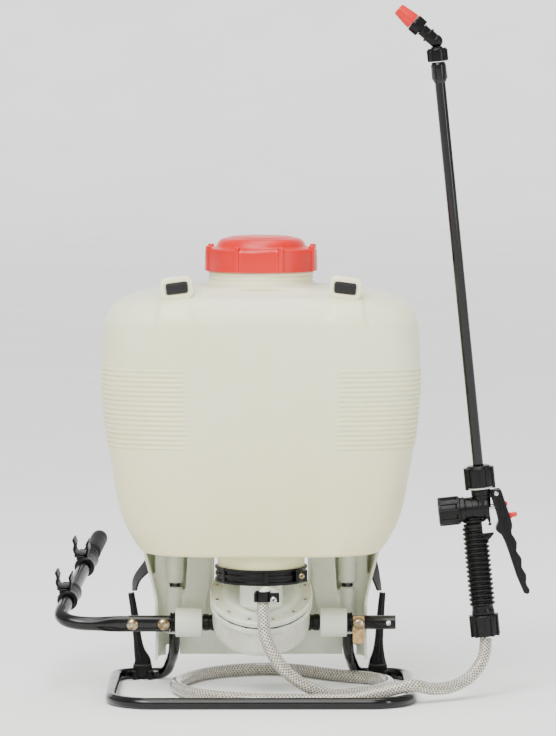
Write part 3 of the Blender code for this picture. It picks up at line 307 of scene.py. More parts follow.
def tank_look():
    """Milky blow-moulded polythene with slow changes of wall thickness and faint flow lines, and painted
    shade: darker and yellower low down, lighter towards the top.
    """
    nodes = Nodes("tank_polythene")
    slow = nodes.noise(7.0, 3.0)
    # painted shade and painted light: the low colour darkens the tank's bottom and the high colour lightens
    # its top
    low = nodes.ramp(slow, (0.74, 0.68, 0.34), (0.80, 0.74, 0.40))
    high = nodes.ramp(slow, (0.93, 0.90, 0.54), (0.95, 0.93, 0.62))
    split = nodes.add("ShaderNodeSeparateXYZ")
    nodes.link(nodes.place, split.inputs["Vector"])
    # painted light: blends by height from the shaded low colour to the lit high colour
    colour = nodes.mix(nodes.spread(split.outputs["Z"], 0.0, 1.0, 0.14, 0.44), low, high)
    flow = nodes.noise(26.0, 4.0, 0.5, (1.0, 1.0, 0.25))
    colour = nodes.mix(nodes.spread(flow, 0.0, 0.25), colour, (0.92, 0.90, 0.70))
    shine = nodes.spread(nodes.noise(40.0, 4.0), 0.30, 0.42)
    waves = nodes.bump(nodes.noise(18.0, 2.0), 0.0007)
    normal = nodes.bump(nodes.noise(900.0, 2.0), 0.00005, waves)
    return nodes.finish(colour, shine, normal, Subsurface_Weight=0.35, Subsurface_Radius=(1.0, 0.8, 0.45),
                        Subsurface_Scale=0.012, Specular_IOR_Level=0.45)


def hose_look():
    """Clear hose over a braid of pale threads: the pattern runs round and along the hose."""
    nodes = Nodes("clear_braided_hose")
    coords = nodes.add("ShaderNodeUVMap").outputs["UV"]
    split = nodes.add("ShaderNodeSeparateXYZ")
    nodes.link(coords, split.inputs["Vector"])
    around = nodes.math("MULTIPLY", split.outputs["X"], 2 * pi * 9)
    along = nodes.math("MULTIPLY", split.outputs["Y"], 2 * pi * 9)
    left = nodes.math("SINE", nodes.math("ADD", around, along))
    right = nodes.math("SINE", nodes.math("SUBTRACT", around, along))
    strands = nodes.math("MAXIMUM", left, right)
    over = nodes.math("SINE", nodes.math("MULTIPLY", around, 0.5))
    strands = nodes.math("ADD", strands, nodes.math("MULTIPLY", over, 0.15))
    covered = nodes.spread(strands, 0.0, 1.0, 0.10, 0.85)
    thread = nodes.ramp(nodes.noise(300.0, 3.0), (0.46, 0.43, 0.34), (0.80, 0.77, 0.68))
    colour = nodes.mix(covered, (0.115, 0.095, 0.065), thread)
    shine = nodes.spread(nodes.noise(90.0, 3.0), 0.30, 0.42)
    normal = nodes.bump(strands, 0.00035)
    return nodes.finish(colour, shine, normal, Coat_Weight=1.0, Coat_Roughness=0.06, Coat_IOR=1.5,
                        Subsurface_Weight=0.15, Subsurface_Scale=0.003)


LOOKS = {
    "tank": tank_look(),
    "milky": moulded("milky_nylon", (0.64, 0.67, 0.54), (0.82, 0.84, 0.72), 0.26, tone=24.0,
                     Subsurface_Weight=0.30, Subsurface_Scale=0.006, Subsurface_Radius=(0.9, 1.0, 0.8)),
    "skirt": moulded("skirt_polythene", (0.62, 0.65, 0.54), (0.78, 0.80, 0.70), 0.30, tone=12.0,
                     Subsurface_Weight=0.35, Subsurface_Scale=0.007, Subsurface_Radius=(0.9, 1.0, 0.8)),
    "red": moulded("red_plastic", (0.58, 0.002, 0.001), (0.68, 0.005, 0.002), 0.33, wear=(0.80, 0.03, 0.02),
                   Subsurface_Weight=0.05, Subsurface_Scale=0.002, Subsurface_Radius=(1.0, 0.2, 0.1)),
    "black": moulded("black_plastic", (0.0020, 0.0020, 0.0020), (0.0045, 0.0045, 0.0045), 0.30,
                     wear=(0.016, 0.016, 0.015), Specular_IOR_Level=0.22),
    "paint": painted("black_paint", (0.0012, 0.0012, 0.0012), (0.0025, 0.0025, 0.0025), 0.16,
                     Specular_IOR_Level=0.30, Coat_Weight=0.25, Coat_Roughness=0.05),
    "rubber": moulded("black_rubber", (0.0035, 0.0035, 0.0035), (0.0070, 0.0070, 0.0068), 0.50, grain=900.0,
                      depth=0.00008, Specular_IOR_Level=0.18),
    "zinc": metal("yellow_zinc", (0.20, 0.13, 0.055), (0.52, 0.44, 0.30), 0.30),
    "steel": metal("bright_steel", (0.50, 0.50, 0.51), (0.66, 0.66, 0.67), 0.24, (1.0, 1.0, 0.1)),
    "brass": metal("brass_screws", (0.42, 0.26, 0.12), (0.62, 0.44, 0.22), 0.38),
    "pale": moulded("pale_seal", (0.55, 0.54, 0.48), (0.68, 0.67, 0.61), 0.50),
    "hose": hose_look(),
    "webbing": cloth("strap_webbing", (0.003, 0.003, 0.003), (0.014, 0.014, 0.015), 0.0020, 0.10),
    "pad": cloth("pad_cloth", (0.005, 0.005, 0.006), (0.020, 0.020, 0.023), 0.0012, 0.15),
}


# ---------------------------------------------------------------- shape helpers


def finish_mesh(body, name, sharp=SHARP):
    bmesh.ops.recalc_face_normals(body, faces=body.faces)
    mesh = bpy.data.meshes.new(name)
    body.to_mesh(mesh)
    body.free()
    mesh.shade_smooth()
    mesh.set_sharp_from_angle(angle=sharp)
    return mesh


def piece(mesh, look, body, *nodes):
    """A shown piece that rides on a CAD body and stands for the CAD nodes named."""
    obj = bpy.data.objects.new(mesh.name, mesh)
    bpy.context.scene.collection.objects.link(obj)
    mesh.materials.clear()
    mesh.materials.append(LOOKS[look])
    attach(obj, body)
    if nodes:
        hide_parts(*nodes)
    return obj


def show(body, name, look, rides_on, *nodes):
    """The same as piece, from a mesh body and its name."""
    return piece(finish_mesh(body, name), look, rides_on, *nodes)


def move(body, matrix):
    if matrix is not None:
        body.transform(matrix)
    return body


def lathe(profile, steps=96, shape=None, matrix=None, closed=False):
    """Turns a profile of (radius, height) about Z. shape(angle, radius, height) can move the radius."""
    body = bmesh.new()
    rows = []
    for radius, height in profile:
        if radius < 1e-6:
            rows.append([body.verts.new((0.0, 0.0, height))])
            continue
        ring = []
        for i in range(steps):
            angle = 2 * pi * i / steps
            r = shape(angle, radius, height) if shape else radius
            ring.append(body.verts.new((r * cos(angle), r * sin(angle), height)))
        rows.append(ring)
    pairs = list(zip(rows, rows[1:]))
    if closed:
        pairs.append((rows[-1], rows[0]))
    for a, b in pairs:
        skin(body, a, b)
    return move(body, matrix)


def skin(body, a, b):
    """Faces between two rings, where either may be a single point."""
    count = max(len(a), len(b))
    for i in range(count):
        j = (i + 1) % count
        corners = [a[i % len(a)], a[j % len(a)], b[j % len(b)], b[i % len(b)]]
        corners = list(dict.fromkeys(corners))
        body.faces.new(corners)


def rounded(profile, radius=0.0006, parts=3):
    """The profile with each corner replaced by a small arc."""
    points = [Vector(p) for p in profile]
    smooth = [points[0]]
    for before, corner, after in zip(points, points[1:], points[2:]):
        a, b = before - corner, after - corner
        reach = min(radius, a.length * 0.45, b.length * 0.45)
        start, end = corner + a.normalized() * reach, corner + b.normalized() * reach
        for i in range(parts + 1):
            t = i / parts
            smooth.append(start * (1 - t) ** 2 + corner * 2 * t * (1 - t) + end * t ** 2)
    smooth.append(points[-1])
    return [(p[0], p[1]) for p in smooth]


def turned(profile, corner, steps, matrix, closed=False):
    """A turned piece with its corners rounded; a closed profile makes a ring."""
    return lathe(rounded(profile, corner), steps, None, matrix, closed)


def smooth_curve(route):
    """A smooth curve through a route's points, FINE_STEPS points to each span."""
    knots = [Vector(p) for p in route]
    knots = [2 * knots[0] - knots[1]] + knots + [2 * knots[-1] - knots[-2]]
    fine = []
    for i in range(1, len(knots) - 2):
        a, b, c, d = knots[i - 1:i + 3]
        for step in range(FINE_STEPS):
            t = step / FINE_STEPS
            fine.append(0.5 * (2 * b + (c - a) * t + (2 * a - 5 * b + 4 * c - d) * t ** 2
                               + (3 * b - a - 3 * c + d) * t ** 3))
    return fine + [knots[-2]]


def even_places(line, count):
    """Where even steps of length fall on a line, each an index and a fraction past it."""
    lengths = [0.0]
    for before, after in zip(line, line[1:]):
        lengths.append(lengths[-1] + (after - before).length)
    places = []
    place_on = 0
    for i in range(count):
        wanted = lengths[-1] * i / (count - 1)
        while place_on < len(line) - 2 and lengths[place_on + 1] < wanted:
            place_on += 1
        span = lengths[place_on + 1] - lengths[place_on]
        places.append((place_on, (wanted - lengths[place_on]) / span))
    return places


def at_places(line, places):
    return [line[i].lerp(line[i + 1], part_way) for i, part_way in places]


def smooth_line(route, count):
    """Points at even steps of length along a smooth curve through a route's points."""
    line = smooth_curve(route)
    return at_places(line, even_places(line, count))


def stations_along(stations, count):
    """Even points along a route of (point, size...) stations, with the size at each."""
    line = smooth_curve([s[0] for s in stations])
    places = even_places(line, count)
    sizes = [Vector(s[1:]) for s in stations]
    fine = []
    for before, after in zip(sizes, sizes[1:]):
        fine += [before.lerp(after, step / FINE_STEPS) for step in range(FINE_STEPS)]
    return at_places(line, places), at_places(fine + [sizes[-1]], places)


def frames_along(points, start_side=None):
    """At each point, two directions square to the line that turn as little as they can."""
    frames = []
    side = start_side
    for i in range(len(points)):
        along = (points[min(i + 1, len(points) - 1)] - points[max(i - 1, 0)]).normalized()
        if side is None:
            side = along.orthogonal()
        side = (side - side.dot(along) * along).normalized()
        frames.append((side, along.cross(side)))
    return frames


def sweep(points, section, start_side=None, capped=True, scale=None, uv_pitch=None):
    """Skins a section of (side, up) offsets along a line. scale(t) sizes it along the way."""
    body = bmesh.new()
    points = [Vector(p) for p in points]
    rows = []
    for i, (point, (side, up)) in enumerate(zip(points, frames_along(points, start_side))):
        t = i / (len(points) - 1)
        sx, sy = scale(t) if scale else (1.0, 1.0)
        rows.append([body.verts.new(point + side * u * sx + up * v * sy) for u, v in section])
    for a, b in zip(rows, rows[1:]):
        skin(body, a, b)
    if uv_pitch:
        mark_uv(body, rows, points, uv_pitch)
    if capped:
        body.faces.new(rows[0])
        body.faces.new(rows[-1][::-1])
    return body


def mark_uv(body, rows, points, pitch):
    """UVs that go once round a tube for each turn, and once for each pitch along it."""
    layer = body.loops.layers.uv.new("UVMap")
    travel = [0.0]
    for before, after in zip(points, points[1:]):
        travel.append(travel[-1] + (after - before).length)
    where = {vertex: (i, j) for i, row in enumerate(rows) for j, vertex in enumerate(row)}
    count = len(rows[0])
    for face in body.faces:
        wraps = {where[v][1] for v in face.verts} >= {0, count - 1}
        for loop in face.loops:
            i, j = where[loop.vert]
            turn = 1.0 if wraps and j == 0 else j / count
            loop[layer].uv = (turn, travel[i] / pitch)


def circle(radius, count=24):
    return [(radius * cos(2 * pi * i / count), radius * sin(2 * pi * i / count)) for i in range(count)]


def rounded_box(width, height, corner, parts=4):
    """Outline of a rectangle with round corners, centred on the origin."""
    outline = []
    for cx, cy, start in ((1, 1, 0), (-1, 1, 90), (-1, -1, 180), (1, -1, 270)):
        for i in range(parts + 1):
            angle = radians(start + 90 * i / parts)
            outline.append((cx * (width / 2 - corner) + corner * cos(angle),
                            cy * (height / 2 - corner) + corner * sin(angle)))
    return outline


def slab(outline, thickness, edge=0.0008, matrix=None):
    """A flat outline in XY, its thickness centred on Z = 0, with rounded edges."""
    body = bmesh.new()
    low = [body.verts.new((x, y, -thickness / 2)) for x, y in outline]
    high = [body.verts.new((x, y, thickness / 2)) for x, y in outline]
    skin(body, low, high)
    body.faces.new(low[::-1])
    body.faces.new(high)
    bmesh.ops.recalc_face_normals(body, faces=body.faces)
    rims = [e for e in body.edges if abs(e.verts[0].co.z - e.verts[1].co.z) < 1e-7]
    bmesh.ops.bevel(body, geom=rims, offset=edge, segments=3, affect="EDGES", profile=0.6)
    return move(body, matrix)


def block(low, high, edge=0.001, matrix=None):
    """A box between two corners with rounded edges."""
    body = bmesh.new()
    bmesh.ops.create_cube(body, size=1.0)
    middle = (Vector(low) + Vector(high)) / 2
    size = Vector(high) - Vector(low)
    body.transform(Matrix.Translation(middle) @ Matrix.Diagonal((*size, 1.0)))
    bmesh.ops.bevel(body, geom=body.edges[:], offset=edge, segments=3, affect="EDGES", profile=0.6)
    return move(body, matrix)


def joined(*bodies):
    """One mesh body from several."""
    whole = bodies[0]
    for other in bodies[1:]:
        mesh = bpy.data.meshes.new("joining")
        other.to_mesh(mesh)
        other.free()
        whole.from_mesh(mesh)
        bpy.data.meshes.remove(mesh)
    return whole


def melted(body, name, voxel, rounds):
    """Solids fused into one skin whose inner corners are softly filled, as in a moulding."""
    bmesh.ops.recalc_face_normals(body, faces=body.faces)
    mesh = bpy.data.meshes.new(name)
    body.to_mesh(mesh)
    body.free()
    obj = bpy.data.objects.new(name + "_raw", mesh)
    bpy.context.scene.collection.objects.link(obj)
    remesh = obj.modifiers.new("Remesh", "REMESH")
    remesh.mode = "VOXEL"
    remesh.voxel_size = voxel
    soften = obj.modifiers.new("Smooth", "SMOOTH")
    soften.factor = 0.5
    soften.iterations = rounds
    evaluated = obj.evaluated_get(bpy.context.evaluated_depsgraph_get())
    result = bpy.data.meshes.new_from_object(evaluated)
    bpy.data.objects.remove(obj, do_unlink=True)
    bpy.data.meshes.remove(mesh)
    result.name = name
    result.shade_smooth()
    return result


def turn_to(origin, x_axis, z_axis):
    """The matrix of a frame with its X and Z along two square directions."""
    z = Vector(z_axis).normalized()
    x = Vector(x_axis).normalized()
    y = z.cross(x)
    rows = Matrix((x, y, z)).transposed()
    return Matrix.Translation(Vector(origin)) @ rows.to_4x4()


def ribs(count, width, height, phase=0.0):
    """A radius change that puts upright ribs round a turned piece."""
    def shape(angle, radius, _):
        nearest = ((angle - phase) * count / (2 * pi) + 0.5) % 1.0 - 0.5
        off = abs(nearest) * 2 * pi / count * radius
        return radius + height * max(0.0, min(1.0, (width - off) / (0.25 * width)))
    return shape


PUMP = Matrix.Translation(Vector(PUMP_CENTRE)) @ Matrix.Rotation(PUMP_TILT, 4, "X")
WAND_UP = Vector(JOINTS["elbow_swivel"]["axis"])
STEM_OUT = -Vector(JOINTS["valve_stem_slide"]["axis"])
HAND_AT = Vector(JOINTS["elbow_swivel"]["pos_m"]) - WAND_UP * ELBOW_AT
HAND = turn_to(HAND_AT, STEM_OUT, WAND_UP)
HANDLE = HAND @ Matrix.Translation((HANDLE_X, 0.0, 0.0))
BARREL = HAND @ Matrix.Rotation(pi / 2, 4, "Y")
TIP = HAND @ Matrix.Translation((0.0, 0.0, KNEE_AT)) @ Matrix.Rotation(NOZZLE_TURN, 4, "Y")
SIDEWAYS = HAND @ Matrix.Rotation(pi / 2, 4, "X")


# ---------------------------------------------------------------- tank


def tank_stations():
    """The outlines with stations between them on a smooth curve."""
    count = len(TANK_OUTLINES)
    stations = []
    for i in range(count - 1):
        rows = [TANK_OUTLINES[min(max(k, 0), count - 1)] for k in range(i - 1, i + 3)]
        steps = max(4, round((rows[2][0] - rows[1][0]) / 0.0011))
        for step in range(steps):
            t = step / steps
            stations.append([0.5 * (2 * b + (c - a) * t + (2 * a - 5 * b + 4 * c - d) * t ** 2
                                    + (3 * b - a - 3 * c + d) * t ** 3) for a, b, c, d in zip(*rows)])
    stations.append(list(TANK_OUTLINES[-1]))
    return stations


def ease(value, start, end):
    t = min(1.0, max(0.0, (value - start) / (end - start)))
    return t * t * (3 - 2 * t)


def tank_relief(x, y, z):
    """How far the wall stands out: ribbed grip bands on the sides and pads below the strap lugs."""
    out = 0.0
    band = (ease(z, BAND_LOW - 0.0005, BAND_LOW + 0.0006)
            * (1 - ease(z, BAND_HIGH - 0.0006, BAND_HIGH + 0.0005)))
    band *= ease(abs(x), BAND_INNER - 0.0008, BAND_INNER + 0.0008)
    if band > 0:
        phase = (z - BAND_LOW) / (BAND_HIGH - BAND_LOW) * BAND_GROOVES
        out += band * (0.0010 - GROOVE_DEPTH * (0.5 + 0.5 * cos(2 * pi * phase)) ** 2)
    if y < TANK_Y:
        reach = 0.0190 + 0.10 * (0.455 - z)
        side = 1 - ease(abs(abs(x) - LUG_X - 0.05 * (0.455 - z)), reach - 0.005, reach)
        out += 0.0040 * side * ease(z, 0.395, 0.440)
    return out


def tank_skin(inset, relief):
    rows = []
    for height, half, front, back, hollow, square in tank_stations():
        ring = []
        for i in range(TANK_AROUND):
            angle = 2 * pi * i / TANK_AROUND
            c, s = cos(angle), sin(angle)
            across = abs(c) ** (2 / square) * (1 if c >= 0 else -1)
            deep = abs(s) ** (2 / square) * (1 if s >= 0 else -1)
            reach = back if deep > 0 else front
            x = (half - inset) * across
            y = TANK_Y + deep * (reach - inset)
            if deep > 0:
                y -= hollow * deep * (1 - across ** 2) ** 2
            if relief:
                out = tank_relief(x, y, height)
                normal = Vector((c, s, 0.0))
                x += out * normal.x
                y += out * normal.y
            ring.append((x, y, height))
        rows.append(ring)
    return rows


def round_row(height, radius, y):
    angles = [2 * pi * i / TANK_AROUND for i in range(TANK_AROUND)]
    return [(radius * cos(a), y + radius * sin(a), height) for a in angles]


def between(low, high, count):
    """Rows set between two, easing from one to the other."""
    rows = []
    for k in range(1, count + 1):
        t = k / (count + 1)
        rows.append([tuple(a + (b - a) * t for a, b in zip(p, q)) for p, q in zip(low, high)])
    return rows


def make_tank():
    skin_rows = tank_skin(0.0, True)
    foot = [round_row(OUTLET_BOTTOM, OUTLET_RADIUS, OUTLET_Y), round_row(0.1560, OUTLET_RADIUS, OUTLET_Y),
            round_row(0.1605, OUTLET_RADIUS + 0.0005, OUTLET_Y),
            round_row(0.1632, OUTLET_RADIUS + 0.0022, OUTLET_Y),
            round_row(0.1648, OUTLET_RADIUS + 0.0060, OUTLET_Y)]
    neck_heights = ((0.4628, 0.0120), (0.4634, 0.0060), (0.4650, 0.0025), (0.4675, 0.0008), (0.4690, 0.0))
    neck = [round_row(z, NECK_RADIUS + r, TANK_Y) for z, r in neck_heights]
    threads = ((0.4700, 0.0), (0.4712, 0.0012), (0.4726, 0.0012), (0.4738, 0.0), (0.4752, 0.0),
               (0.4764, 0.0014), (0.4776, 0.0014), (0.4788, 0.0), (0.4830, 0.0), (0.4842, 0.0010),
               (0.4854, 0.0010), (0.4866, 0.0))
    neck += [round_row(z, NECK_RADIUS + r, TANK_Y) for z, r in threads]
    neck += [round_row(NECK_TOP - 0.0006, NECK_RADIUS, TANK_Y),
             round_row(NECK_TOP, NECK_RADIUS - 0.0006, TANK_Y)]
    rim = [round_row(NECK_TOP, NECK_RADIUS - 0.0024, TANK_Y),
           round_row(NECK_TOP - 0.0006, NECK_RADIUS - 0.003, TANK_Y),
           round_row(0.4640, NECK_RADIUS - 0.003, TANK_Y)]
    inner = tank_skin(TANK_WALL, False)[::-4]
    bottom = [round_row(0.1640, OUTLET_RADIUS - 0.003, OUTLET_Y),
              round_row(OUTLET_BOTTOM, OUTLET_RADIUS - 0.003, OUTLET_Y)]
    rows = foot + between(foot[-1], skin_rows[0], 6) + skin_rows
    rows += between(skin_rows[-1], neck[0], 5) + neck + rim + inner + bottom
    body = bmesh.new()
    rings = [[body.verts.new(point) for point in row] for row in rows]
    for a, b in zip(rings, rings[1:]):
        skin(body, a, b)
    skin(body, rings[-1], rings[0])
    piece(finish_mesh(body, "tank_body", radians(50)), "tank", ROOT, "tank_shell")
    for side, name in ((-1, "left"), (1, "right")):
        make_lug(side, name)


def make_lug(side, name):
    """Moulded loop on the shoulder that the strap's end is threaded through."""
    outer = rounded_box(0.0350, 0.0250, 0.0070, 6)
    hole = rounded_box(0.0255, 0.0130, 0.0030, 6)
    body = bmesh.new()
    rings = []
    for y, grow in ((-0.0062, -0.0012), (-0.0050, 0.0), (0.0050, 0.0), (0.0062, -0.0012)):
        scale = 1 + grow / 0.0125
        rings.append(([body.verts.new((x * scale, y, z * scale)) for x, z in outer],
                      [body.verts.new((x / scale, y, z / scale)) for x, z in hole]))
    for (outer_a, hole_a), (outer_b, hole_b) in zip(rings, rings[1:]):
        skin(body, outer_a, outer_b)
        skin(body, hole_a, hole_b)
    for outer_ring, hole_ring in (rings[0], rings[-1]):
        skin(body, outer_ring, hole_ring)
    matrix = Matrix.Translation((side * LUG_X, LUG_Y, 0.4632)) @ Matrix.Rotation(radians(side * 7), 4, "Y")
    show(move(body, matrix), "strap_lug_" + name, "tank", ROOT)
    low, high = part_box("strap_anchor_" + name)
    size = high - low
    bars = [block((-size.x / 2, -size.y / 2, -size.z / 2), (size.x / 2, size.y / 2, size.z / 2), 0.0022)]
    for k in range(3):
        z = -0.0030 + 0.0030 * k
        bars.append(block((-size.x / 2 + 0.001, -size.y / 2 - 0.0005, z - 0.0006),
                          (size.x / 2 - 0.001, size.y / 2, z + 0.0006), 0.0005))
    middle = (low + high) / 2
    matrix = Matrix.Translation(middle) @ Matrix.Rotation(radians(side * 7), 4, "Y")
    end = move(joined(*bars), matrix)
    show(end, "strap_end_" + name, "webbing", ROOT, "strap_anchor_" + name)


def make_cap():
    """Screw cap with eight grip bars and a low dome."""
    profile = [(0.0, 0.5180), (0.0200, 0.5178), (0.0340, 0.5168), (0.0362, 0.5160), (0.0430, 0.5146),
               (0.0466, 0.5126), (0.0488, 0.5096), (0.0500, 0.5066), (0.0512, 0.5052), (0.0600, 0.5044),
               (0.0622, 0.5028), (0.0628, 0.5005), (0.0630, 0.4790), (0.0595, 0.4790), (0.0595, 0.5010),
               (0.0, 0.5030)]
    shape = ribs(8, 0.0050, 0.0008, radians(20))

    def skirt_ribs(angle, radius, height):
        wanted = radius > 0.0605 and height < 0.5049
        return shape(angle, radius, height) if wanted else radius

    matrix = Matrix.Translation((0.0, TANK_Y, 0.0))
    cap = lathe(rounded(profile, 0.0008), 288, skirt_ribs, matrix)
    bars = []
    for i in range(8):
        turn = matrix @ Matrix.Rotation(radians(20 + 45 * i), 4, "Z")
        bars.append(block((0.0590, -0.0024, 0.4793), (0.0652, 0.0024, 0.5074), 0.0012, turn))
    show(joined(cap, *bars), "screw_cap", "red", "cap", "filler_cap")


# ---------------------------------------------------------------- outlet, pump and skirt


def screw_head(radius, height, matrix, drive=4):
    """Domed head, and a cross of bars on its top; shown black, the bars are painted shade standing for a
    recessed cross or slot.
    """
    dome = rounded(((0.0, height), (radius * 0.55, height * 0.92), (radius * 0.92, height * 0.55),
                    (radius, height * 0.15), (radius, 0.0), (0.0, 0.0)), radius * 0.12)
    cross = []
    for k in range(drive // 2):
        turn = matrix @ Matrix.Rotation(pi / 2 * k + 0.4, 4, "Z")
        cross.append(block((-radius * 0.55, -radius * 0.11, height * 0.7),
                           (radius * 0.55, radius * 0.11, height * 1.02), radius * 0.05, turn))
    return lathe(dome, 40, None, matrix), cross


def make_outlet_ring():
    centre = Matrix.Translation((0.0, OUTLET_Y, 0.0))
    band = rounded(((0.0487, 0.1508), (0.0517, 0.1508), (0.0517, 0.1482), (0.0500, 0.1476),
                    (0.0500, 0.1448), (0.0514, 0.1442), (0.0514, 0.1408), (0.0500, 0.1402),
                    (0.0500, 0.1374), (0.0517, 0.1368), (0.0517, 0.1336), (0.0487, 0.1336)), 0.0004)
    ring = lathe(band, 144, None, centre, closed=True)
    angle = radians(-36)
    outward = Vector((cos(angle), sin(angle), 0.0))
    ear_at = Vector((0.0, OUTLET_Y, 0.1432)) + outward * 0.0555
    here = Matrix.Translation(ear_at)
    ears = [block((-0.0065, -0.0060, -0.0062), (-0.0008, 0.0060, 0.0062), 0.0012, here),
            block((0.0008, -0.0060, -0.0062), (0.0065, 0.0060, 0.0062), 0.0012, here),
            block((-0.0030, -0.0050, -0.0048), (0.0030, 0.0050, 0.0048), 0.0008, here)]
    straps = []
    for turned in (-84, -200, -144):
        turn = centre @ Matrix.Rotation(radians(turned), 4, "Z")
        straps.append(block((0.0495, -0.0022, 0.1340), (0.0522, 0.0022, 0.1504), 0.0006, turn))
    show(joined(ring, *ears, *straps), "outlet_clamp", "black", ROOT, "outlet_clamp_ring")
    front = Matrix.Translation(ear_at + Vector((0.0, -0.0062, 0.0))) @ Matrix.Rotation(pi / 2, 4, "X")
    head, cross = screw_head(0.0037, 0.0028, front)
    shank = lathe(((0.0, 0.0), (0.0020, 0.0), (0.0020, -0.0120), (0.0, -0.0120)), 24, None, front)
    show(joined(head, shank), "clamp_ring_screw", "zinc", ROOT, "clamp_screw")
    # painted shade: the black cross stands for the shade inside the screw's recess
    show(joined(*cross), "clamp_ring_screw_shade_cross", "black", ROOT)


def make_pump():
    profile = [(0.0, 0.0128), (0.0300, 0.0128), (0.0370, 0.0124), (0.0412, 0.0112), (0.0432, 0.0092),
               (0.0450, 0.0080), (0.0545, 0.0076), (0.0560, 0.0084), (0.0574, 0.0078), (0.0577, 0.0062),
               (0.0577, 0.0013), (0.0382, 0.0013), (0.0382, 0.0093), (0.0, 0.0093)]
    cover = turned(profile, 0.0007, 144, PUMP)
    collar = turned(((0.0120, 0.1330), (0.0240, 0.1330), (0.0242, 0.1060), (0.0120, 0.1000)), 0.001, 72,
                    Matrix.Translation((0.0, OUTLET_Y, 0.0)))
    bmesh.ops.bisect_plane(collar, geom=collar.verts[:] + collar.edges[:] + collar.faces[:],
                           plane_co=PUMP @ Vector((0.0, 0.0, 0.0112)),
                           plane_no=PUMP.to_3x3() @ Vector((0.0, 0.0, 1.0)), clear_inner=True)
    bmesh.ops.holes_fill(collar, edges=collar.edges)
    flange = turned(((0.0120, 0.1384), (0.0470, 0.1384), (0.0475, 0.1370), (0.0475, 0.1346),
                     (0.0120, 0.1335)), 0.0008, 96, Matrix.Translation((0.0, OUTLET_Y, 0.0)))
    duct_line = ((0.0170, 0.0720, 0.1150), (0.0165, 0.0450, 0.1225), (0.0115, 0.0280, 0.1265),
                 (0.0040, 0.0150, 0.1285), (0.0020, 0.0120, 0.1240), (0.0020, 0.0120, 0.1166))
    duct = sweep(smooth_line(duct_line, 40), circle(0.0056, 32))
    wells = []
    heads = []
    for k in range(12):
        angle = radians(15 + 30 * k)
        at = PUMP @ Matrix.Translation((0.0510 * cos(angle), 0.0510 * sin(angle), 0.0072))
        wells.append(turned(((0.0024, 0.0012), (0.0036, 0.0012), (0.0039, -0.0010), (0.0024, -0.0010)),
                            0.0004, 28, at, closed=True))
        head, cross = screw_head(0.0024, 0.0008, at)
        heads += [head]
        for part in cross:
            part.free()
    solid = joined(cover, collar, flange, duct, *wells)
    show(solid, "pump_lid", "milky", ROOT, "pump_cover")
    show(joined(*heads), "pump_lid_screws", "brass", ROOT)
    bowl = [(0.0, -0.0520), (0.0240, -0.0518), (0.0330, -0.0508), (0.0420, -0.0485), (0.0500, -0.0445),
            (0.0538, -0.0400), (0.0549, -0.0340), (0.0552, -0.0100), (0.0577, -0.0080), (0.0577, -0.0013),
            (0.0500, -0.0013), (0.0505, -0.0330), (0.0470, -0.0425), (0.0290, -0.0490), (0.0, -0.0490)]
    body = turned(bowl, 0.0010, 144, PUMP)
    lugs = []
    for k in range(12):
        angle = radians(15 + 30 * k)
        at = PUMP @ Matrix.Translation((0.0510 * cos(angle), 0.0510 * sin(angle), 0.0))
        lugs.append(turned(((0.0, -0.0013), (0.0044, -0.0013), (0.0046, -0.0100), (0.0034, -0.0150),
                            (0.0, -0.0160)), 0.0008, 28, at))
    show(joined(body, *lugs), "pump_bowl", "milky", ROOT, "pump_housing")
    for side, name in ((-0.0185, "left"), (0.0185, "right")):
        at = PUMP @ Matrix.Translation((side, -0.0180, 0.0))
        plug = lathe(rounded(((0.0, -0.0523), (0.0056, -0.0523), (0.0056, -0.0556), (0.0040, -0.0562),
                              (0.0038, -0.0590), (0.0, -0.0590)), 0.0005), 60, ribs(10, 0.0008, 0.0004), at)
        show(plug, "drain_knob_" + name, "black", ROOT, "drain_plug_" + name)


def skirt_plan(half_width):
    """Plan of the skirt's wall, as half of a rounded channel open at the front."""
    corner, front, back = 0.022, 0.132, 0.182
    points = [(half_width, front), (half_width, front + 0.014)]
    for i in range(13):
        angle = radians(90 * i / 12)
        points.append((half_width - corner + corner * cos(angle), back - corner + corner * sin(angle)))
    points.append((0.0, back))
    return points


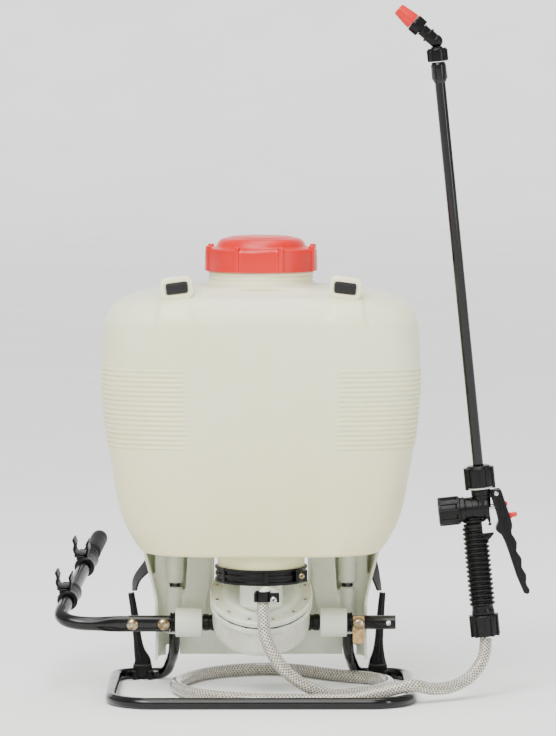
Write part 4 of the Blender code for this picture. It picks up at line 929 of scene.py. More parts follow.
def make_skirt():
    levels = ((0.034, 0.1210), (0.040, 0.1203), (0.070, 0.1197), (0.100, 0.1200), (0.115, 0.1228),
              (0.130, 0.1265), (0.145, 0.1305), (0.155, 0.1330), (0.1655, 0.1340))
    wall = 0.0035
    body = bmesh.new()
    rows = []
    for height, half in levels:
        plan = skirt_plan(half)
        outer = plan + [(-x, y) for x, y in plan[-2::-1]]
        inside = skirt_plan(half - wall)
        inner = [(x, y - wall if y > 0.15 else y) for x, y in inside]
        inner = inner + [(-x, y) for x, y in inner[-2::-1]]
        rows.append([body.verts.new((x, y, height)) for x, y in outer + inner[::-1]])
    for a, b in zip(rows, rows[1:]):
        skin(body, a, b)
    body.faces.new(rows[0][::-1])
    body.faces.new(rows[-1])
    parts = [body]
    for side in (-1, 1):
        x = side * 0.098
        at = Matrix.Translation((x, 0.1555, 0.0))
        parts.append(lathe(((0.0, 0.1600), (0.0108, 0.1600), (0.0105, 0.1220), (0.0080, 0.1200),
                            (0.0, 0.1200)), 48, None, at))
        parts.append(lathe(((0.0, 0.1160), (0.0080, 0.1160), (0.0100, 0.1130), (0.0105, 0.0640),
                            (0.0095, 0.0622), (0.0, 0.0622)), 48, None, at))
        parts.append(block((side * 0.112 - 0.009, 0.1530, 0.064), (side * 0.112 + 0.009, 0.1580, 0.159),
                           0.001))
        parts.append(block((x - 0.0025, 0.1580, 0.080), (x + 0.0025, 0.1800, 0.159), 0.001))
        shaft = Matrix.Translation((0.0, SHAFT_Y, SHAFT_Z)) @ Matrix.Rotation(side * pi / 2, 4, "Y")
        parts.append(lathe(((0.0100, 0.0970), (0.0165, 0.0970), (0.0165, 0.0665), (0.0100, 0.0665)), 64,
                           None, shaft, closed=True))
        parts.append(make_boss_web(side))
        parts.append(block((side * 0.0815 - 0.012, 0.1270, 0.0660), (side * 0.0815 + 0.012, 0.1805, 0.0700),
                           0.001))
    mesh = melted(joined(*parts), "skirt_moulding", 0.0013, 4)
    trim_skirt(mesh)
    piece(mesh, "skirt", ROOT, "base_skirt")


def make_boss_web(side):
    """Web from a shaft boss up to the tank, flaring as it rises."""
    outline = [(0.066, 0.0780), (0.0575, 0.1200), (0.0545, 0.1600), (0.0600, 0.1600), (0.0830, 0.1600),
               (0.0860, 0.1150), (0.0900, 0.0930), (0.0965, 0.0840), (0.0965, 0.0780)]
    matrix = Matrix.Translation((0.0, 0.1500, 0.0)) @ Matrix.Rotation(pi / 2, 4, "X")
    plan = [(side * x, z) for x, z in outline]
    front = slab(plan[::side], 0.0050, 0.001, matrix)
    side_wall = block((side * 0.0570 - 0.0017, 0.1490, 0.1130), (side * 0.0570 + 0.0017, 0.1800, 0.1600),
                      0.0008)
    return joined(front, side_wall)


def trim_skirt(mesh):
    """Cuts the wall's opening above the pump and the notches that the frame's ends rise through."""
    cutters = [block((-0.0535, 0.1650, 0.1120), (0.0535, 0.1950, 0.1750), 0.004),
               block((-0.0560, 0.0, 0.0), (0.0560, 0.1480, 0.2), 0.004)]
    for side in (-1, 1):
        cutters.append(block((side * 0.1010 - 0.0080, 0.1680, 0.0200),
                             (side * 0.1010 + 0.0080, 0.2000, 0.0465), 0.003))
        shaft = Matrix.Translation((0.0, SHAFT_Y, SHAFT_Z)) @ Matrix.Rotation(side * pi / 2, 4, "Y")
        cutters.append(lathe(((0.0, 0.1100), (0.0100, 0.1100), (0.0100, 0.0600), (0.0, 0.0600)), 48, None,
                             shaft))
        foot = Vector((side * RISER_FOOT[0], RISER_FOOT[1], RISER_FOOT[2] - 0.004))
        top = Vector((side * RISER_TOP[0], RISER_TOP[1], RISER_TOP[2]))
        cutters.append(sweep([foot, top], circle(FRAME_RADIUS + 0.0004, 32)))
    kept = cut_from(mesh, cutters)
    body = bmesh.new()
    body.from_mesh(kept)
    body.to_mesh(mesh)
    body.free()
    mesh.shade_smooth()
    mesh.set_sharp_from_angle(angle=radians(55))


# ---------------------------------------------------------------- frame, shaft and lever


def arc(centre, radius, start, end, count):
    angles = [radians(start + (end - start) * i / (count - 1)) for i in range(count)]
    return [(centre[0] + radius * cos(a), centre[1] + radius * sin(a)) for a in angles]


def make_frame():
    low = FRAME_RADIUS
    edge = FRAME_HALF_WIDTH
    halves = []
    for side in (-1, 1):
        front = arc((edge - FRAME_FRONT_CORNER, FRAME_FRONT_CORNER), FRAME_FRONT_CORNER, -90, 0, 22)
        back = arc((edge - FRAME_BACK_CORNER, FRAME_BACK - FRAME_BACK_CORNER), FRAME_BACK_CORNER, 0, 90, 16)
        flat = [(side * x, y, low) for x, y in front + back]
        turn_up = ((0.1215, FRAME_BACK, low), (0.1140, 0.2168, low + 0.0012), (0.1080, 0.2090, 0.0130),
                   (0.1040, 0.1960, 0.0240), (0.1010, 0.1800, 0.0345), (0.0993, 0.1670, 0.0450), RISER_FOOT)
        rise = smooth_line(turn_up, 40) + [Vector(RISER_TOP)]
        halves.append(flat + [(side * p[0], p[1], p[2]) for p in rise])
    path = halves[0][::-1] + halves[1]
    show(sweep(path, circle(FRAME_RADIUS, 40), UP), "frame_tube", "paint", ROOT, "base_frame")


def make_bushes():
    """The flanged bushes that the pump shaft turns in, two on each side."""
    for side, name in ((-1, "left"), (1, "right")):
        turn = Matrix.Translation((0.0, SHAFT_Y, SHAFT_Z)) @ Matrix.Rotation(side * pi / 2, 4, "Y")
        flange = rounded(((0.0084, 0.1029), (0.0112, 0.1029), (0.0112, 0.1008), (0.0104, 0.1004),
                          (0.0104, 0.0994), (0.0112, 0.0990), (0.0112, 0.0974), (0.0098, 0.0972),
                          (0.0098, 0.0663), (0.0084, 0.0663)), 0.0004)
        show(lathe(flange, 64, None, turn, closed=True), "outer_bearing_" + name, "black", ROOT,
             "outer_bush_" + name)
        inner = rounded(((0.0084, 0.0485), (0.0095, 0.0485), (0.0095, 0.0560), (0.0086, 0.0566),
                         (0.0086, 0.0590), (0.0095, 0.0596), (0.0095, 0.0656), (0.0084, 0.0656)), 0.0004)
        show(lathe(inner, 64, None, turn, closed=True), "inner_bearing_" + name, "black", ROOT,
             "inner_bush_" + name)


def bolt(name, node, x, front):
    """Round-headed coach bolt on the front of the lever or bracket, with its shank."""
    low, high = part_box(node)
    at = Matrix.Translation((x, front, SHAFT_Z)) @ Matrix.Rotation(pi / 2, 4, "X")
    head = turned(((0.0, 0.0044), (0.0030, 0.0041), (0.0052, 0.0031), (0.0066, 0.0016), (0.0069, 0.0003),
                   (0.0068, 0.0), (0.0, 0.0)), 0.0004, 56, at)
    shank = lathe(((0.0, 0.0), (0.0025, 0.0), (0.0025, front - high.y + 0.0002),
                   (0.0, front - high.y + 0.0002)), 24, None, at)
    show(joined(head, shank), name, "zinc", "lever", node)


def arm_matrix(distance):
    along = (ARM_END - ARM_BEND).normalized()
    left = UP.cross(along).normalized()
    return turn_to(ARM_BEND + along * distance, left, along)


def make_lever():
    """Pump lever: a bent tube whose inner end is pressed flat and bolted to the shaft."""
    flat_y = SHAFT_Y - SHAFT_RADIUS - 0.0003
    middle = flat_y - 0.0035
    arm = ARM_END - ARM_BEND
    route = ((-0.1035, middle, SHAFT_Z), (-0.1300, middle, SHAFT_Z), (-0.1600, middle, SHAFT_Z),
             (-0.1850, middle, SHAFT_Z), (-0.2050, middle + 0.0010, SHAFT_Z + 0.0008),
             (-0.2190, middle + 0.0070, SHAFT_Z + 0.0030), (-0.2258, middle + 0.0180, SHAFT_Z + 0.0062),
             ARM_BEND, ARM_BEND + arm * 0.06, ARM_BEND + arm * 0.3, ARM_BEND + arm * 0.6, ARM_END)
    points = smooth_line(route, 150)
    total = sum((b - a).length for a, b in zip(points, points[1:]))
    section = circle(1.0, 40)

    def pressed(t):
        run = t * total
        flat = 1 - ease(run, 0.056, 0.088)
        square = LEVER_RADIUS
        return (square + (0.0090 - square) * flat, square + (0.0035 - square) * flat)

    lever = sweep(points, section, UP, True, pressed)
    show(lever, "lever_tube", "paint", "lever", "lever_arm")
    front = flat_y - 0.0070 - 0.0003
    bolt("lever_bolt_left", "lever_bolt_outer", -0.145, front)
    bolt("lever_bolt_right", "lever_bolt_inner", -0.110, front)
    length = arm.length - GRIP_START
    profile = [(0.0, length + 0.0080), (0.0034, length + 0.0075), (0.0062, length + 0.0060),
               (0.0084, length + 0.0034), (0.0095, length + 0.0002), (0.0098, length - 0.0040),
               (0.0098, 0.0040), (0.0101, 0.0030), (0.0101, 0.0008), (0.0096, 0.0), (0.0082, 0.0)]
    grip = turned(profile, 0.0006, 72, arm_matrix(GRIP_START))
    rings = []
    for k in range(4):
        z = 0.0080 + 0.0035 * k
        rings.append(turned(((0.0096, z + 0.0008), (0.0102, z + 0.0003), (0.0102, z - 0.0003),
                             (0.0096, z - 0.0008)), 0.0002, 56, arm_matrix(GRIP_START)))
    show(joined(grip, *rings), "lever_sleeve", "rubber", "lever", "lever_grip")
    for name, distance in CLIP_PLACES:
        make_clip(name, arm_matrix(distance))


def make_clip(name, matrix):
    """Wand clip: a saddle round the arm and a cup with two springy prongs."""
    saddle = turned(((0.0081, 0.0170), (0.0112, 0.0170), (0.0120, 0.0150), (0.0112, 0.0080),
                     (0.0112, -0.0080), (0.0120, -0.0150), (0.0112, -0.0170), (0.0081, -0.0170)), 0.0006,
                    56, matrix, closed=True)
    cup_at = matrix @ Matrix.Translation((0.0050, 0.0190, 0.0))
    outline = []
    for k in range(25):
        angle = radians(-205 + 230 * k / 24)
        outline.append((0.0066 * cos(angle), 0.0066 * sin(angle)))
    right = [(0.0060, 0.0046), (0.0052, 0.0062), (0.0062, 0.0086), (0.0068, 0.0112), (0.0074, 0.0126),
             (0.0088, 0.0130), (0.0098, 0.0118), (0.0096, 0.0100), (0.0088, 0.0080), (0.0084, 0.0062)]
    outer = []
    for k in range(25):
        angle = radians(25 - 230 * k / 24)
        outer.append((0.0094 * cos(angle), 0.0094 * sin(angle)))
    left = [(-0.0088, 0.0052), (-0.0092, 0.0072), (-0.0098, 0.0086), (-0.0090, 0.0100), (-0.0076, 0.0098),
            (-0.0068, 0.0082), (-0.0056, 0.0062), (-0.0060, 0.0046)]
    cup = slab((outline + right + outer + left)[::-1], 0.0150, 0.0006, cup_at)
    neck = block((-0.0030, 0.0092, -0.0075), (0.0130, 0.0140, 0.0075), 0.0012, matrix)
    webs = [block((0.0005, 0.0080, z - 0.0010), (0.0095, 0.0130, z + 0.0010), 0.0005, matrix)
            for z in (-0.0125, 0.0125)]
    show(joined(saddle, cup, neck, *webs), "wand_holder_" + name, "black", "lever", "wand_clip_" + name)


def make_bracket():
    flat_y = SHAFT_Y - SHAFT_RADIUS - 0.0003
    x = 0.110
    plate = slab(rounded_box(0.0130, 0.0315, 0.0020, 5), 0.0030, 0.0005,
                 Matrix.Translation((x, flat_y - 0.0015, 0.07225)) @ Matrix.Rotation(pi / 2, 4, "X"))
    folds = [block((x + off - 0.0006, flat_y - 0.0036, 0.0572), (x + off + 0.0006, flat_y - 0.0026, 0.0715),
                   0.0003) for off in (-0.0045, 0.0, 0.0045)]
    show(joined(plate, *folds), "stop_plate", "brass", "lever", "stop_bracket")
    bolt("stop_plate_bolt", "stop_bracket_bolt", x, flat_y - 0.0033)


# ---------------------------------------------------------------- straps


def make_hooks():
    for side, name, base, bottom, top in HOOKS:
        foot = block((side * base - 0.0110, 0.2095, 0.0022), (side * base + 0.0110, 0.2285, 0.0180), 0.003)
        route = (((side * base, 0.2190, 0.0120), 0.0215, 0.0150),
                 ((side * base, 0.2190, 0.0210), 0.0190, 0.0130),
                 ((side * (bottom * 0.6 + base * 0.4), 0.2190, 0.0320), 0.0130, 0.0110),
                 ((side * bottom, 0.2190, 0.0450), 0.0098, 0.0090),
                 ((side * (bottom + top) / 2, 0.2190, 0.0760), 0.0084, 0.0080),
                 ((side * top, 0.2185, 0.1000), 0.0072, 0.0068))
        points, sizes = stations_along(route, 60)
        ring = rounded_box(1.0, 1.0, 0.28, 5)

        def along(t, sizes=sizes):
            size = sizes[min(59, round(t * 59))]
            return (size.x, size.y)

        stem = sweep(points, ring, Vector((1.0, 0.0, 0.0)), True, along)
        ridge = sweep([p + Vector((0.0, -s.y * 0.5, 0.0)) for p, s in zip(points[6:], sizes[6:])],
                      circle(0.0014, 12), None, True)
        toes = [block((side * base + off - 0.0035, 0.2070, 0.0005),
                      (side * base + off + 0.0035, 0.2310, 0.0110), 0.002) for off in (-0.0088, 0.0088)]
        show(joined(foot, stem, ridge, *toes), "frame_hook_" + name, "black", ROOT, "strap_hook_" + name)


def strap_section(width, thick):
    return rounded_box(width, thick, min(thick * 0.45, 0.004), 4)


def ribbon(stations, count):
    """A strip through stations of (point, width, thickness, heading of its width in degrees)."""
    points, sizes = stations_along(stations, count)
    body = bmesh.new()
    rows = []
    for i, (point, size) in enumerate(zip(points, sizes)):
        along = (points[min(i + 1, count - 1)] - points[max(i - 1, 0)]).normalized()
        across = Vector((cos(radians(size.z)), sin(radians(size.z)), 0.0))
        across = (across - across.dot(along) * along).normalized()
        out = along.cross(across)
        rows.append([body.verts.new(point + across * u + out * v)
                     for u, v in strap_section(size.x, size.y)])
    for a, b in zip(rows, rows[1:]):
        skin(body, a, b)
    body.faces.new(rows[0])
    body.faces.new(rows[-1][::-1])
    return body


def make_straps():
    for side, name, _, _, top in HOOKS:
        hook_top = top - 0.0035
        x = side * LUG_X
        route = ((0.0432, 0.4642), (0.0600, 0.4648), (0.1100, 0.4652), (0.1500, 0.4648), (0.1780, 0.4638),
                 (0.1990, 0.4560), (0.2130, 0.4410), (0.2205, 0.4200), (0.2265, 0.3900), (0.2320, 0.3500),
                 (0.2350, 0.3050), (0.2350, 0.2620))
        widths = (0.024, 0.024, 0.024, 0.024, 0.025, 0.028, 0.040, 0.050, 0.052, 0.050, 0.046, 0.034)
        thick = (0.0025, 0.0025, 0.0025, 0.0025, 0.0028, 0.004, 0.008, 0.0105, 0.0115, 0.0115, 0.0105,
                 0.006)
        stations = [((x, y, z), w, d, 0) for (y, z), w, d in zip(route, widths, thick)]
        pad = show(ribbon(stations, 160), "shoulder_pad_" + name, "pad", ROOT, "shoulder_strap_" + name)
        piping(stations, "pad_piping_" + name)
        make_adjuster(x, name)
        lower = (((x, 0.2350, 0.2280), 0.025, 0.0022, 0),
                 ((side * 0.0990, 0.2385, 0.2050), 0.025, 0.0022, side * 5),
                 ((side * 0.1100, 0.2400, 0.1700), 0.025, 0.0022, side * 20),
                 ((side * 0.1240, 0.2370, 0.1380), 0.025, 0.0022, side * 45),
                 ((side * (hook_top - 0.004), 0.2320, 0.1160), 0.025, 0.0022, side * 70),
                 ((side * hook_top, 0.2290, 0.1010), 0.024, 0.0022, side * 80))
        show(ribbon(lower, 90), "lower_webbing_" + name, "webbing", ROOT, "strap_webbing_" + name)


def piping(stations, name):
    """Sewn edging along both sides of the padded part of a strap."""
    cords = []
    for edge in (-1, 1):
        line = [Vector(p) + Vector((edge * (w / 2 - 0.0005), 0.0, 0.0)) for p, w, _, _ in stations[5:]]
        cords.append(sweep(smooth_line(line, 110), circle(0.0014, 12)))
    show(joined(*cords), name, "webbing", ROOT)


def make_adjuster(x, name):
    """Three-bar buckle between the pad and the lower webbing."""
    bars = [block((x - 0.0180, 0.2312, 0.2320), (x - 0.0140, 0.2388, 0.2615), 0.0016),
            block((x + 0.0140, 0.2312, 0.2320), (x + 0.0180, 0.2388, 0.2615), 0.0016),
            block((x - 0.0170, 0.2316, 0.2322), (x + 0.0170, 0.2384, 0.2400), 0.0016),
            block((x - 0.0170, 0.2316, 0.2450), (x + 0.0170, 0.2384, 0.2520), 0.0016),
            block((x - 0.0170, 0.2316, 0.2560), (x + 0.0170, 0.2384, 0.2613), 0.0016)]
    show(joined(*bars), "strap_buckle_" + name, "black", ROOT, "strap_adjuster_" + name)


# ---------------------------------------------------------------- hose


def make_hose():
    points = smooth_line(HOSE_ROUTE, 340)
    tube = sweep(points, circle(HOSE_RADIUS, 36), Vector((1.0, 0.0, 0.0)), True, None, 0.036)
    hose = show(tube, "braided_hose", "hose", ROOT, "hose")
    low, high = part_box("hose_clip")
    clip = [block((low.x, low.y, low.z), (-0.0050, high.y, high.z + 0.0050), 0.0012),
            block((0.0090, low.y, low.z), (high.x, high.y - 0.004, high.z + 0.0050), 0.0012),
            turned(((0.0071, high.z + 0.0060), (0.0086, high.z + 0.0060), (0.0088, low.z), (0.0071, low.z)),
                   0.0004, 56, Matrix.Translation((0.0020, 0.0120, 0.0)), closed=True)]
    show(joined(*clip), "hose_clamp", "black", ROOT, "hose_clip")
    front = Matrix.Translation((0.0135, 0.0045, 0.1207)) @ Matrix.Rotation(pi / 2, 4, "X")
    head, cross = screw_head(0.0040, 0.0032, front)
    show(head, "hose_clamp_screw", "steel", ROOT, "hose_clip_screw")
    # painted shade: the black cross stands for the shade inside the screw's recess
    show(joined(*cross), "hose_clamp_screw_shade_cross", "black", ROOT)


# ---------------------------------------------------------------- handset


def make_valve():
    """Shut-off valve: barrel with moulded bands, neck, stub, pivot lugs and lock catch."""
    barrel = turned(((0.0, 0.0073), (0.0125, 0.0073), (0.0138, 0.0058), (0.0138, 0.0020), (0.0131, 0.0012),
                     (0.0131, -0.0040), (0.0138, -0.0048), (0.0138, -0.0110), (0.0131, -0.0118),
                     (0.0131, -0.0190), (0.0140, -0.0198), (0.0140, -0.0250), (0.0, -0.0250)), 0.0004, 72,
                    BARREL)
    neck = turned(((0.0045, 0.0378), (0.0100, 0.0378), (0.0100, 0.0215), (0.0110, 0.0208), (0.0110, 0.0150),
                   (0.0100, 0.0143), (0.0100, 0.0), (0.0, 0.0)), 0.0004, 56, HAND)
    stub = turned(((0.0, 0.0), (0.0092, 0.0), (0.0098, -0.0158), (0.0085, -0.0163), (0.0085, -0.0300),
                   (0.0, -0.0300)), 0.0004, 56, HANDLE)
    collars = [turned(((0.0120, -0.0120), (0.0132, -0.0128), (0.0132, -0.0142), (0.0120, -0.0150)), 0.0003,
                      56, HANDLE, closed=True)]
    lug = slab([(0.0020, 0.0107), (0.0020, 0.0195), (0.01675, 0.0195)]
               + [(0.01675 + 0.0044 * sin(radians(a)), 0.0151 + 0.0044 * cos(radians(a)))
                  for a in range(10, 180, 10)] + [(0.01675, 0.0107)], 0.0078, 0.0005, SIDEWAYS)
    catch = slab([(0.0040, -0.0100), (0.0078, -0.0100), (0.0080, -0.0150), (0.0072, -0.0172),
                  (0.0086, -0.0186), (0.0080, -0.0204), (0.0052, -0.0206), (0.0044, -0.0194),
                  (0.0058, -0.0182), (0.0052, -0.0160)], 0.0058, 0.0004, SIDEWAYS)
    spur = slab([(-0.0060, -0.0290), (0.0098, -0.0288), (0.0102, -0.0302), (0.0062, -0.0345),
                 (0.0030, -0.0372), (-0.0060, -0.0372)], 0.0050, 0.0006, SIDEWAYS)
    spine = block((-0.0016, -0.0135, 0.0040), (0.0016, -0.0090, 0.0200), 0.0006, HAND)
    whole = joined(barrel, neck, stub, lug, catch, spine, *collars)
    show(whole, "valve_moulding", "black", ROOT, "valve_body")
    show(spur, "grip_spur", "black", ROOT)
    cap = [(0.0, -0.0494), (0.0130, -0.0494), (0.0146, -0.0480), (0.0146, -0.0300), (0.0140, -0.0290),
           (0.0140, -0.0254), (0.0100, -0.0254)]
    body = turned(cap, 0.0005, 96, BARREL)
    bars = []
    for k in range(8):
        turn = BARREL @ Matrix.Rotation(2 * pi * k / 8, 4, "Z")
        bars.append(block((0.0130, -0.0028, -0.0492), (0.0160, 0.0028, -0.0268), 0.0008, turn))
    rims = [turned(((0.0140, z + 0.0016), (0.0157, z + 0.0014), (0.0157, z - 0.0014), (0.0140, z - 0.0016)),
                   0.0004, 72, BARREL, closed=True) for z in (-0.0268, -0.0476)]
    show(joined(body, *bars, *rims), "valve_end_cap", "black", ROOT, "valve_cap")


def grip_profile():
    profile = [(0.0090, -0.0168), (0.0125, -0.0168), (0.0128, -0.0185)]
    count, start, pitch = 17, -0.0225, 0.0053
    for k in range(count):
        z = start - pitch * k
        profile += [(0.0121, z + 0.0021), (0.0145, z + 0.0007), (0.0145, z - 0.0007), (0.0121, z - 0.0021)]
    profile += [(0.0121, -0.1130), (0.0126, -0.1150), (0.0130, -0.1170), (0.0128, -0.1193),
                (0.0090, -0.1193)]
    return profile


def make_handle():
    grip = turned(grip_profile(), 0.0005, 72, HANDLE, closed=True)
    notch = block((0.0072, -0.0200, -0.0300), (0.0200, 0.0200, -0.0150), 0.0010, HANDLE)
    grip = carved(finish_mesh(grip, "ribbed_grip"), [notch])
    piece(grip, "black", ROOT, "grip")
    nut = rounded(((0.0068, -0.1198), (0.0148, -0.1198), (0.0156, -0.1215), (0.0150, -0.1420),
                   (0.0142, -0.1440), (0.0068, -0.1440)), 0.0005)
    shell = lathe(nut, 120, None, HANDLE, closed=True)
    bars = []
    for k in range(10):
        turn = HANDLE @ Matrix.Rotation(2 * pi * k / 10 + 0.2, 4, "Z")
        bars.append(block((0.0140, -0.0012, -0.1442), (0.0168, 0.0012, -0.1200), 0.0005, turn))
    show(joined(shell, *bars), "hose_union_nut", "black", ROOT, "hose_nut")


def make_trigger():
    """Trigger: forked head, waisted middle and a long lever with a wavy finger side."""
    finger = [(0.0240, 0.0130), (0.0262, 0.0030), (0.0296, -0.0120), (0.0312, -0.0200), (0.0308, -0.0246),
              (0.0296, -0.0285), (0.0298, -0.0325), (0.0326, -0.0375), (0.0344, -0.0420), (0.0338, -0.0470),
              (0.0330, -0.0515), (0.0352, -0.0562), (0.0378, -0.0606), (0.0376, -0.0655), (0.0370, -0.0700),
              (0.0388, -0.0745), (0.0412, -0.0790), (0.0410, -0.0835), (0.0402, -0.0880), (0.0412, -0.0925),
              (0.0434, -0.0962), (0.0430, -0.0998), (0.0405, -0.1014)]
    palm = [(0.0366, -0.0995), (0.0305, -0.0800), (0.0252, -0.0560), (0.0212, -0.0400), (0.0180, -0.0318),
            (0.0128, -0.0268), (0.0128, -0.0236), (0.0162, -0.0165), (0.0150, -0.0070), (0.0116, 0.0080)]
    head = [(0.0114, 0.0150), (0.0130, 0.0182), (0.0160, 0.0196), (0.0205, 0.0196), (0.0228, 0.0180)]
    body = slab((head + finger + palm)[::-1], 0.0176, 0.0014, SIDEWAYS)
    mesh = finish_mesh(body, "trigger_lever")
    cuts = [block((0.0, -0.0047, -0.0130), (0.0215, 0.0047, 0.0300), 0.0004, HAND),
            block((0.0090, -0.0037, -0.0390), (0.0250, 0.0037, -0.0040), 0.0004, HAND),
            block((0.0200, -0.0037, -0.0200), (0.0450, 0.0037, 0.0040), 0.0004, HAND)]
    mesh = carved(mesh, cuts)
    flutes = []
    for y in (-0.0088, 0.0088):
        turn = HAND @ Matrix.Translation((0.0, y, 0.0))
        line = [turn @ Vector(p) for p in ((0.0205, 0, 0.0100), (0.0230, 0, -0.0200), (0.0262, 0, -0.0400),
                                           (0.0310, 0, -0.0640), (0.0368, 0, -0.0880))]
        flutes.append(sweep(smooth_line(line, 40), circle(0.0009, 10)))
    piece(mesh, "black", "trigger_lever", "trigger")
    show(joined(*flutes), "trigger_side_ribs", "black", "trigger_lever")
    pin = JOINTS["trigger_squeeze"]["pos_m"]
    across = Matrix.Translation(Vector(pin)) @ Matrix.Rotation(pi / 2, 4, "X")
    shaft = turned(((0.0, 0.0103), (0.0024, 0.0103), (0.0024, -0.0103), (0.0, -0.0103)), 0.0004, 32, across)
    show(shaft, "trigger_axle", "steel", ROOT, "trigger_pin")
    arm = [(0.0240, 0.0030), (0.0262, 0.0046), (0.0285, 0.0036), (0.0286, 0.0006), (0.0262, -0.0020),
           (0.0275, -0.0080), (0.0328, -0.0090), (0.0346, -0.0118), (0.0338, -0.0134), (0.0290, -0.0160),
           (0.0262, -0.0178), (0.0170, -0.0250), (0.0156, -0.0254), (0.0146, -0.0240), (0.0152, -0.0222),
           (0.0210, -0.0150), (0.0245, -0.0110), (0.0238, -0.0040)]
    knob = lathe([(0.0030 * sin(pi * k / 16), 0.0030 * cos(pi * k / 16)) for k in range(17)], 40, None,
                 HAND @ Matrix.Translation((0.0352, 0.0, -0.0110)))
    lock = joined(slab(arm[::-1], 0.0064, 0.0010, SIDEWAYS), knob)
    show(lock, "lock_slider", "red", "lock_catch", "trigger_lock")


def cut_from(mesh, cutters):
    """A copy of the mesh with solids cut out of it, one after another."""
    target = bpy.data.objects.new(mesh.name + "_raw", mesh)
    bpy.context.scene.collection.objects.link(target)
    for cutter in cutters:
        tool = bpy.data.objects.new("cutter", finish_mesh(cutter, "cutter"))
        bpy.context.scene.collection.objects.link(tool)
        cut = target.modifiers.new("Cut", "BOOLEAN")
        cut.operation = "DIFFERENCE"
        cut.solver = "EXACT"
        cut.object = tool
        evaluated = target.evaluated_get(bpy.context.evaluated_depsgraph_get())
        result = bpy.data.meshes.new_from_object(evaluated)
        target.modifiers.clear()
        target.data = result
        bpy.data.objects.remove(tool, do_unlink=True)
    bpy.data.objects.remove(target, do_unlink=True)
    return result


def carved(mesh, cutters):
    """The mesh with solids cut out of it, smooth-shaded and under its own name."""
    name = mesh.name
    result = cut_from(mesh, cutters)
    result.name = name
    result.shade_smooth()
    result.set_sharp_from_angle(angle=SHARP)
    return result


def ribbed_nut(name, node, body, matrix, profile, count, rib):
    """A union nut: a turned shell with raised grip bars. rib is (inner, outer, half width, low, high)."""
    shell = turned(profile, 0.0004, 96, matrix, closed=True)
    inner, outer, half, low, high = rib
    bars = []
    for k in range(count):
        turn = matrix @ Matrix.Rotation(2 * pi * (k + 0.5) / count, 4, "Z")
        bars.append(block((inner, -half, low), (outer, half, high), 0.0004, turn))
    show(joined(shell, *bars), name, "black", body, node)


def make_wand():
    washer = turned(((0.0104, 0.0236), (0.0142, 0.0236), (0.0142, 0.0217), (0.0104, 0.0217)), 0.0004, 72,
                    HAND, closed=True)
    show(washer, "wand_washer", "pale", ROOT, "wand_seal")
    nut = [(0.0064, 0.0478), (0.0118, 0.0478), (0.0134, 0.0466), (0.0148, 0.0448), (0.0154, 0.0425),
           (0.0154, 0.0238), (0.0104, 0.0238), (0.0104, 0.0384), (0.0064, 0.0384)]
    ribbed_nut("wand_union_nut", "wand_nut", ROOT, HAND, nut, 9, (0.0140, 0.0168, 0.0016, 0.0240, 0.0455))
    ears = [block((0.0122, -0.0050, 0.0214), (0.0169, 0.0050, 0.0458), 0.0008,
                  HAND @ Matrix.Rotation(turn, 4, "Z")) for turn in (0.0, pi)]
    show(joined(*ears), "wand_nut_ears", "black", ROOT)
    wand = [(0.0046, 0.4998), (0.0074, 0.4998), (0.0082, 0.4965), (0.0083, 0.4930), (0.0080, 0.4860),
            (0.0074, 0.4790), (WAND_RADIUS, 0.4766), (WAND_RADIUS, 0.0392), (0.0046, 0.0392)]
    tube = turned(wand, 0.0004, 64, HAND, closed=True)
    show(tube, "wand", "paint", ROOT, "wand_tube")
    flutes = []
    for k in range(6):
        turn = HAND @ Matrix.Rotation(2 * pi * k / 6, 4, "Z")
        flutes.append(block((0.0070, -0.0009, 0.4810), (0.0085, 0.0009, 0.4970), 0.0004, turn))
    show(joined(*flutes), "wand_ferrule_ribs", "black", ROOT)


def make_nozzle():
    nut = [(0.0068, 0.5154), (0.0100, 0.5154), (0.0110, 0.5135), (0.0110, 0.5022), (0.0102, 0.5006),
           (0.0068, 0.5006)]
    ribbed_nut("elbow_union_nut", "elbow_nut", "elbow_joint", HAND, nut, 10,
               (0.0100, 0.0119, 0.0010, 0.5010, 0.5140))
    low = turned(((0.0, ELBOW_AT + 0.0005), (0.0064, ELBOW_AT), (0.0061, 0.5008), (0.0, 0.5008)), 0.0004,
                 48, HAND)
    ball = [(0.0075 * sin(pi * k / 24), 0.0075 * cos(pi * k / 24)) for k in range(25)]
    ball[0], ball[-1] = (0.0, 0.0075), (0.0, -0.0075)
    knee = lathe(ball, 56, None, HAND @ Matrix.Translation((0.0, 0.0, ELBOW_AT + 0.0062)))
    arm = turned(((0.0, 0.0328), (0.0045, 0.0328), (0.0045, 0.0212), (0.0072, 0.0210), (0.0066, 0.0190),
                  (0.0066, 0.0130), (0.0073, 0.0124), (0.0073, 0.0070), (0.0070, 0.0), (0.0, 0.0)), 0.0003,
                 56, TIP)
    lugs = [block((-0.0086, -0.0012, 0.0100), (0.0086, 0.0012, 0.0122), 0.0005, TIP),
            block((-0.0012, -0.0080, 0.0035), (0.0012, 0.0080, 0.0150), 0.0005, TIP)]
    show(joined(low, knee, arm, *lugs), "elbow_moulding", "black", "elbow_joint", "elbow")
    nut = [(0.0050, 0.0333), (0.0090, 0.0333), (0.0098, 0.0315), (0.0098, 0.0232), (0.0092, 0.0217),
           (0.0050, 0.0217)]
    ribbed_nut("nozzle_union_nut", "nozzle_nut", "elbow_joint", TIP, nut, 8,
               (0.0088, 0.0106, 0.0011, 0.0219, 0.0325))
    cone = [(0.0, 0.0520), (0.0014, 0.0535), (0.0020, 0.0554), (0.0048, 0.0558), (0.0062, 0.0545),
            (0.0070, 0.0480), (0.0078, 0.0430), (0.0085, 0.0352), (0.0085, 0.0338), (0.0, 0.0338)]
    tip = lathe(rounded(cone, 0.0004), 96, ribs(12, 0.0008, 0.0006), TIP)
    show(tip, "spray_tip", "red", "nozzle_tip", "nozzle")


# ---------------------------------------------------------------- carried-over nodes, stage and camera


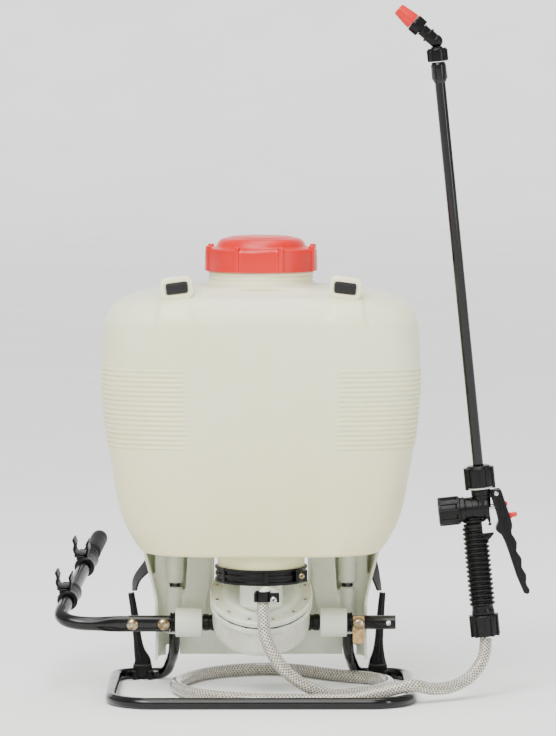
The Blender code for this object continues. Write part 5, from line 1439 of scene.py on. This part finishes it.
CARRIED = {
    "cap_gasket": "rubber", "strainer_basket": "black", "inlet_valve": "rubber", "outlet_valve": "steel",
    "diaphragm": "rubber", "diaphragm_plate": "steel", "con_rod": "black", "pump_shaft": "paint",
    "inline_filter": "pale", "valve_spring": "steel", "valve_stem": "steel",
}


def dress_carried():
    """Detailed finishes and softened edges for the CAD nodes that are kept."""
    for name, look in CARRIED.items():
        node = frame["nodes"][name]
        node.data.materials.clear()
        node.data.materials.append(LOOKS[look])
        bevel = node.modifiers.new("Bevel", "BEVEL")
        bevel.width = 0.0002
        bevel.segments = 2
        bevel.limit_method = "ANGLE"
        bevel.angle_limit = radians(40)


def make_stage():
    """A sheet of pale paper: flat under the object and swept up far behind it."""
    body = bmesh.new()
    rows = []
    path = [(-PAPER_HALF, 0.0), (-1.0, 0.0)]
    for k in range(61):
        turn = pi / 2 * k / 60
        path.append((PAPER_BEND_AT + PAPER_BEND * sin(turn), PAPER_BEND - PAPER_BEND * cos(turn)))
    path.append((PAPER_BEND_AT + PAPER_BEND, PAPER_TOP))
    for along, rise in path:
        rows.append([body.verts.new((across, along, rise)) for across in (-PAPER_HALF, PAPER_HALF)])
    for low, high in zip(rows, rows[1:]):
        body.faces.new((low[0], low[1], high[1], high[0]))
    mesh = finish_mesh(body, "studio_floor")
    floor = bpy.data.objects.new("studio_floor", mesh)
    bpy.context.scene.collection.objects.link(floor)
    nodes = Nodes("studio_paper")
    colour = nodes.ramp(nodes.noise(3.0), (0.94, 0.94, 0.935), (0.97, 0.97, 0.965))
    mesh.materials.append(nodes.finish(colour, 0.95, nodes.bump(nodes.noise(400.0), 0.00005),
                                       Specular_IOR_Level=0.0))
    floor.location = (0.0, 0.0, -0.0002)


def soft_light(name, at, size, power):
    data = bpy.data.lights.new(name, "AREA")
    data.shape = "RECTANGLE"
    data.size, data.size_y = size
    data.energy = power
    light = bpy.data.objects.new(name, data)
    bpy.context.scene.collection.objects.link(light)
    light.location = at
    light.rotation_euler = (Vector(LIT_POINT) - Vector(at)).to_track_quat("-Z", "Y").to_euler()


def make_lights():
    world = bpy.data.worlds.new("studio")
    bpy.context.scene.world = world
    world.use_nodes = True
    world.node_tree.nodes["Background"].inputs["Color"].default_value = (1.0, 1.0, 1.0, 1.0)
    world.node_tree.nodes["Background"].inputs["Strength"].default_value = SKY_STRENGTH
    for light in LIGHTS:
        soft_light(*light)
    bank = bpy.data.objects.new("overhead_bank", bpy.data.lights.new("overhead_bank", "SUN"))
    bank.data.energy = BANK_STRENGTH
    bank.data.angle = BANK_SPREAD
    bank.rotation_euler = BANK_TURN
    bpy.context.scene.collection.objects.link(bank)


def make_camera():
    data = bpy.data.cameras.new("camera")
    data.lens = CAMERA_LENS
    data.sensor_width = 36.0
    data.clip_end = 60.0
    camera = bpy.data.objects.new("camera", data)
    bpy.context.scene.collection.objects.link(camera)
    camera.location = CAMERA_AT
    camera.rotation_euler = (Vector(CAMERA_AIM) - Vector(CAMERA_AT)).to_track_quat("-Z", "Y").to_euler()
    bpy.context.scene.camera = camera


make_camera()
make_hose()
make_tank()
make_cap()
make_outlet_ring()
make_pump()
make_skirt()
make_frame()
make_bushes()
make_lever()
make_bracket()
make_hooks()
make_straps()
make_valve()
make_handle()
make_trigger()
make_wand()
make_nozzle()
dress_carried()
make_stage()
make_lights()
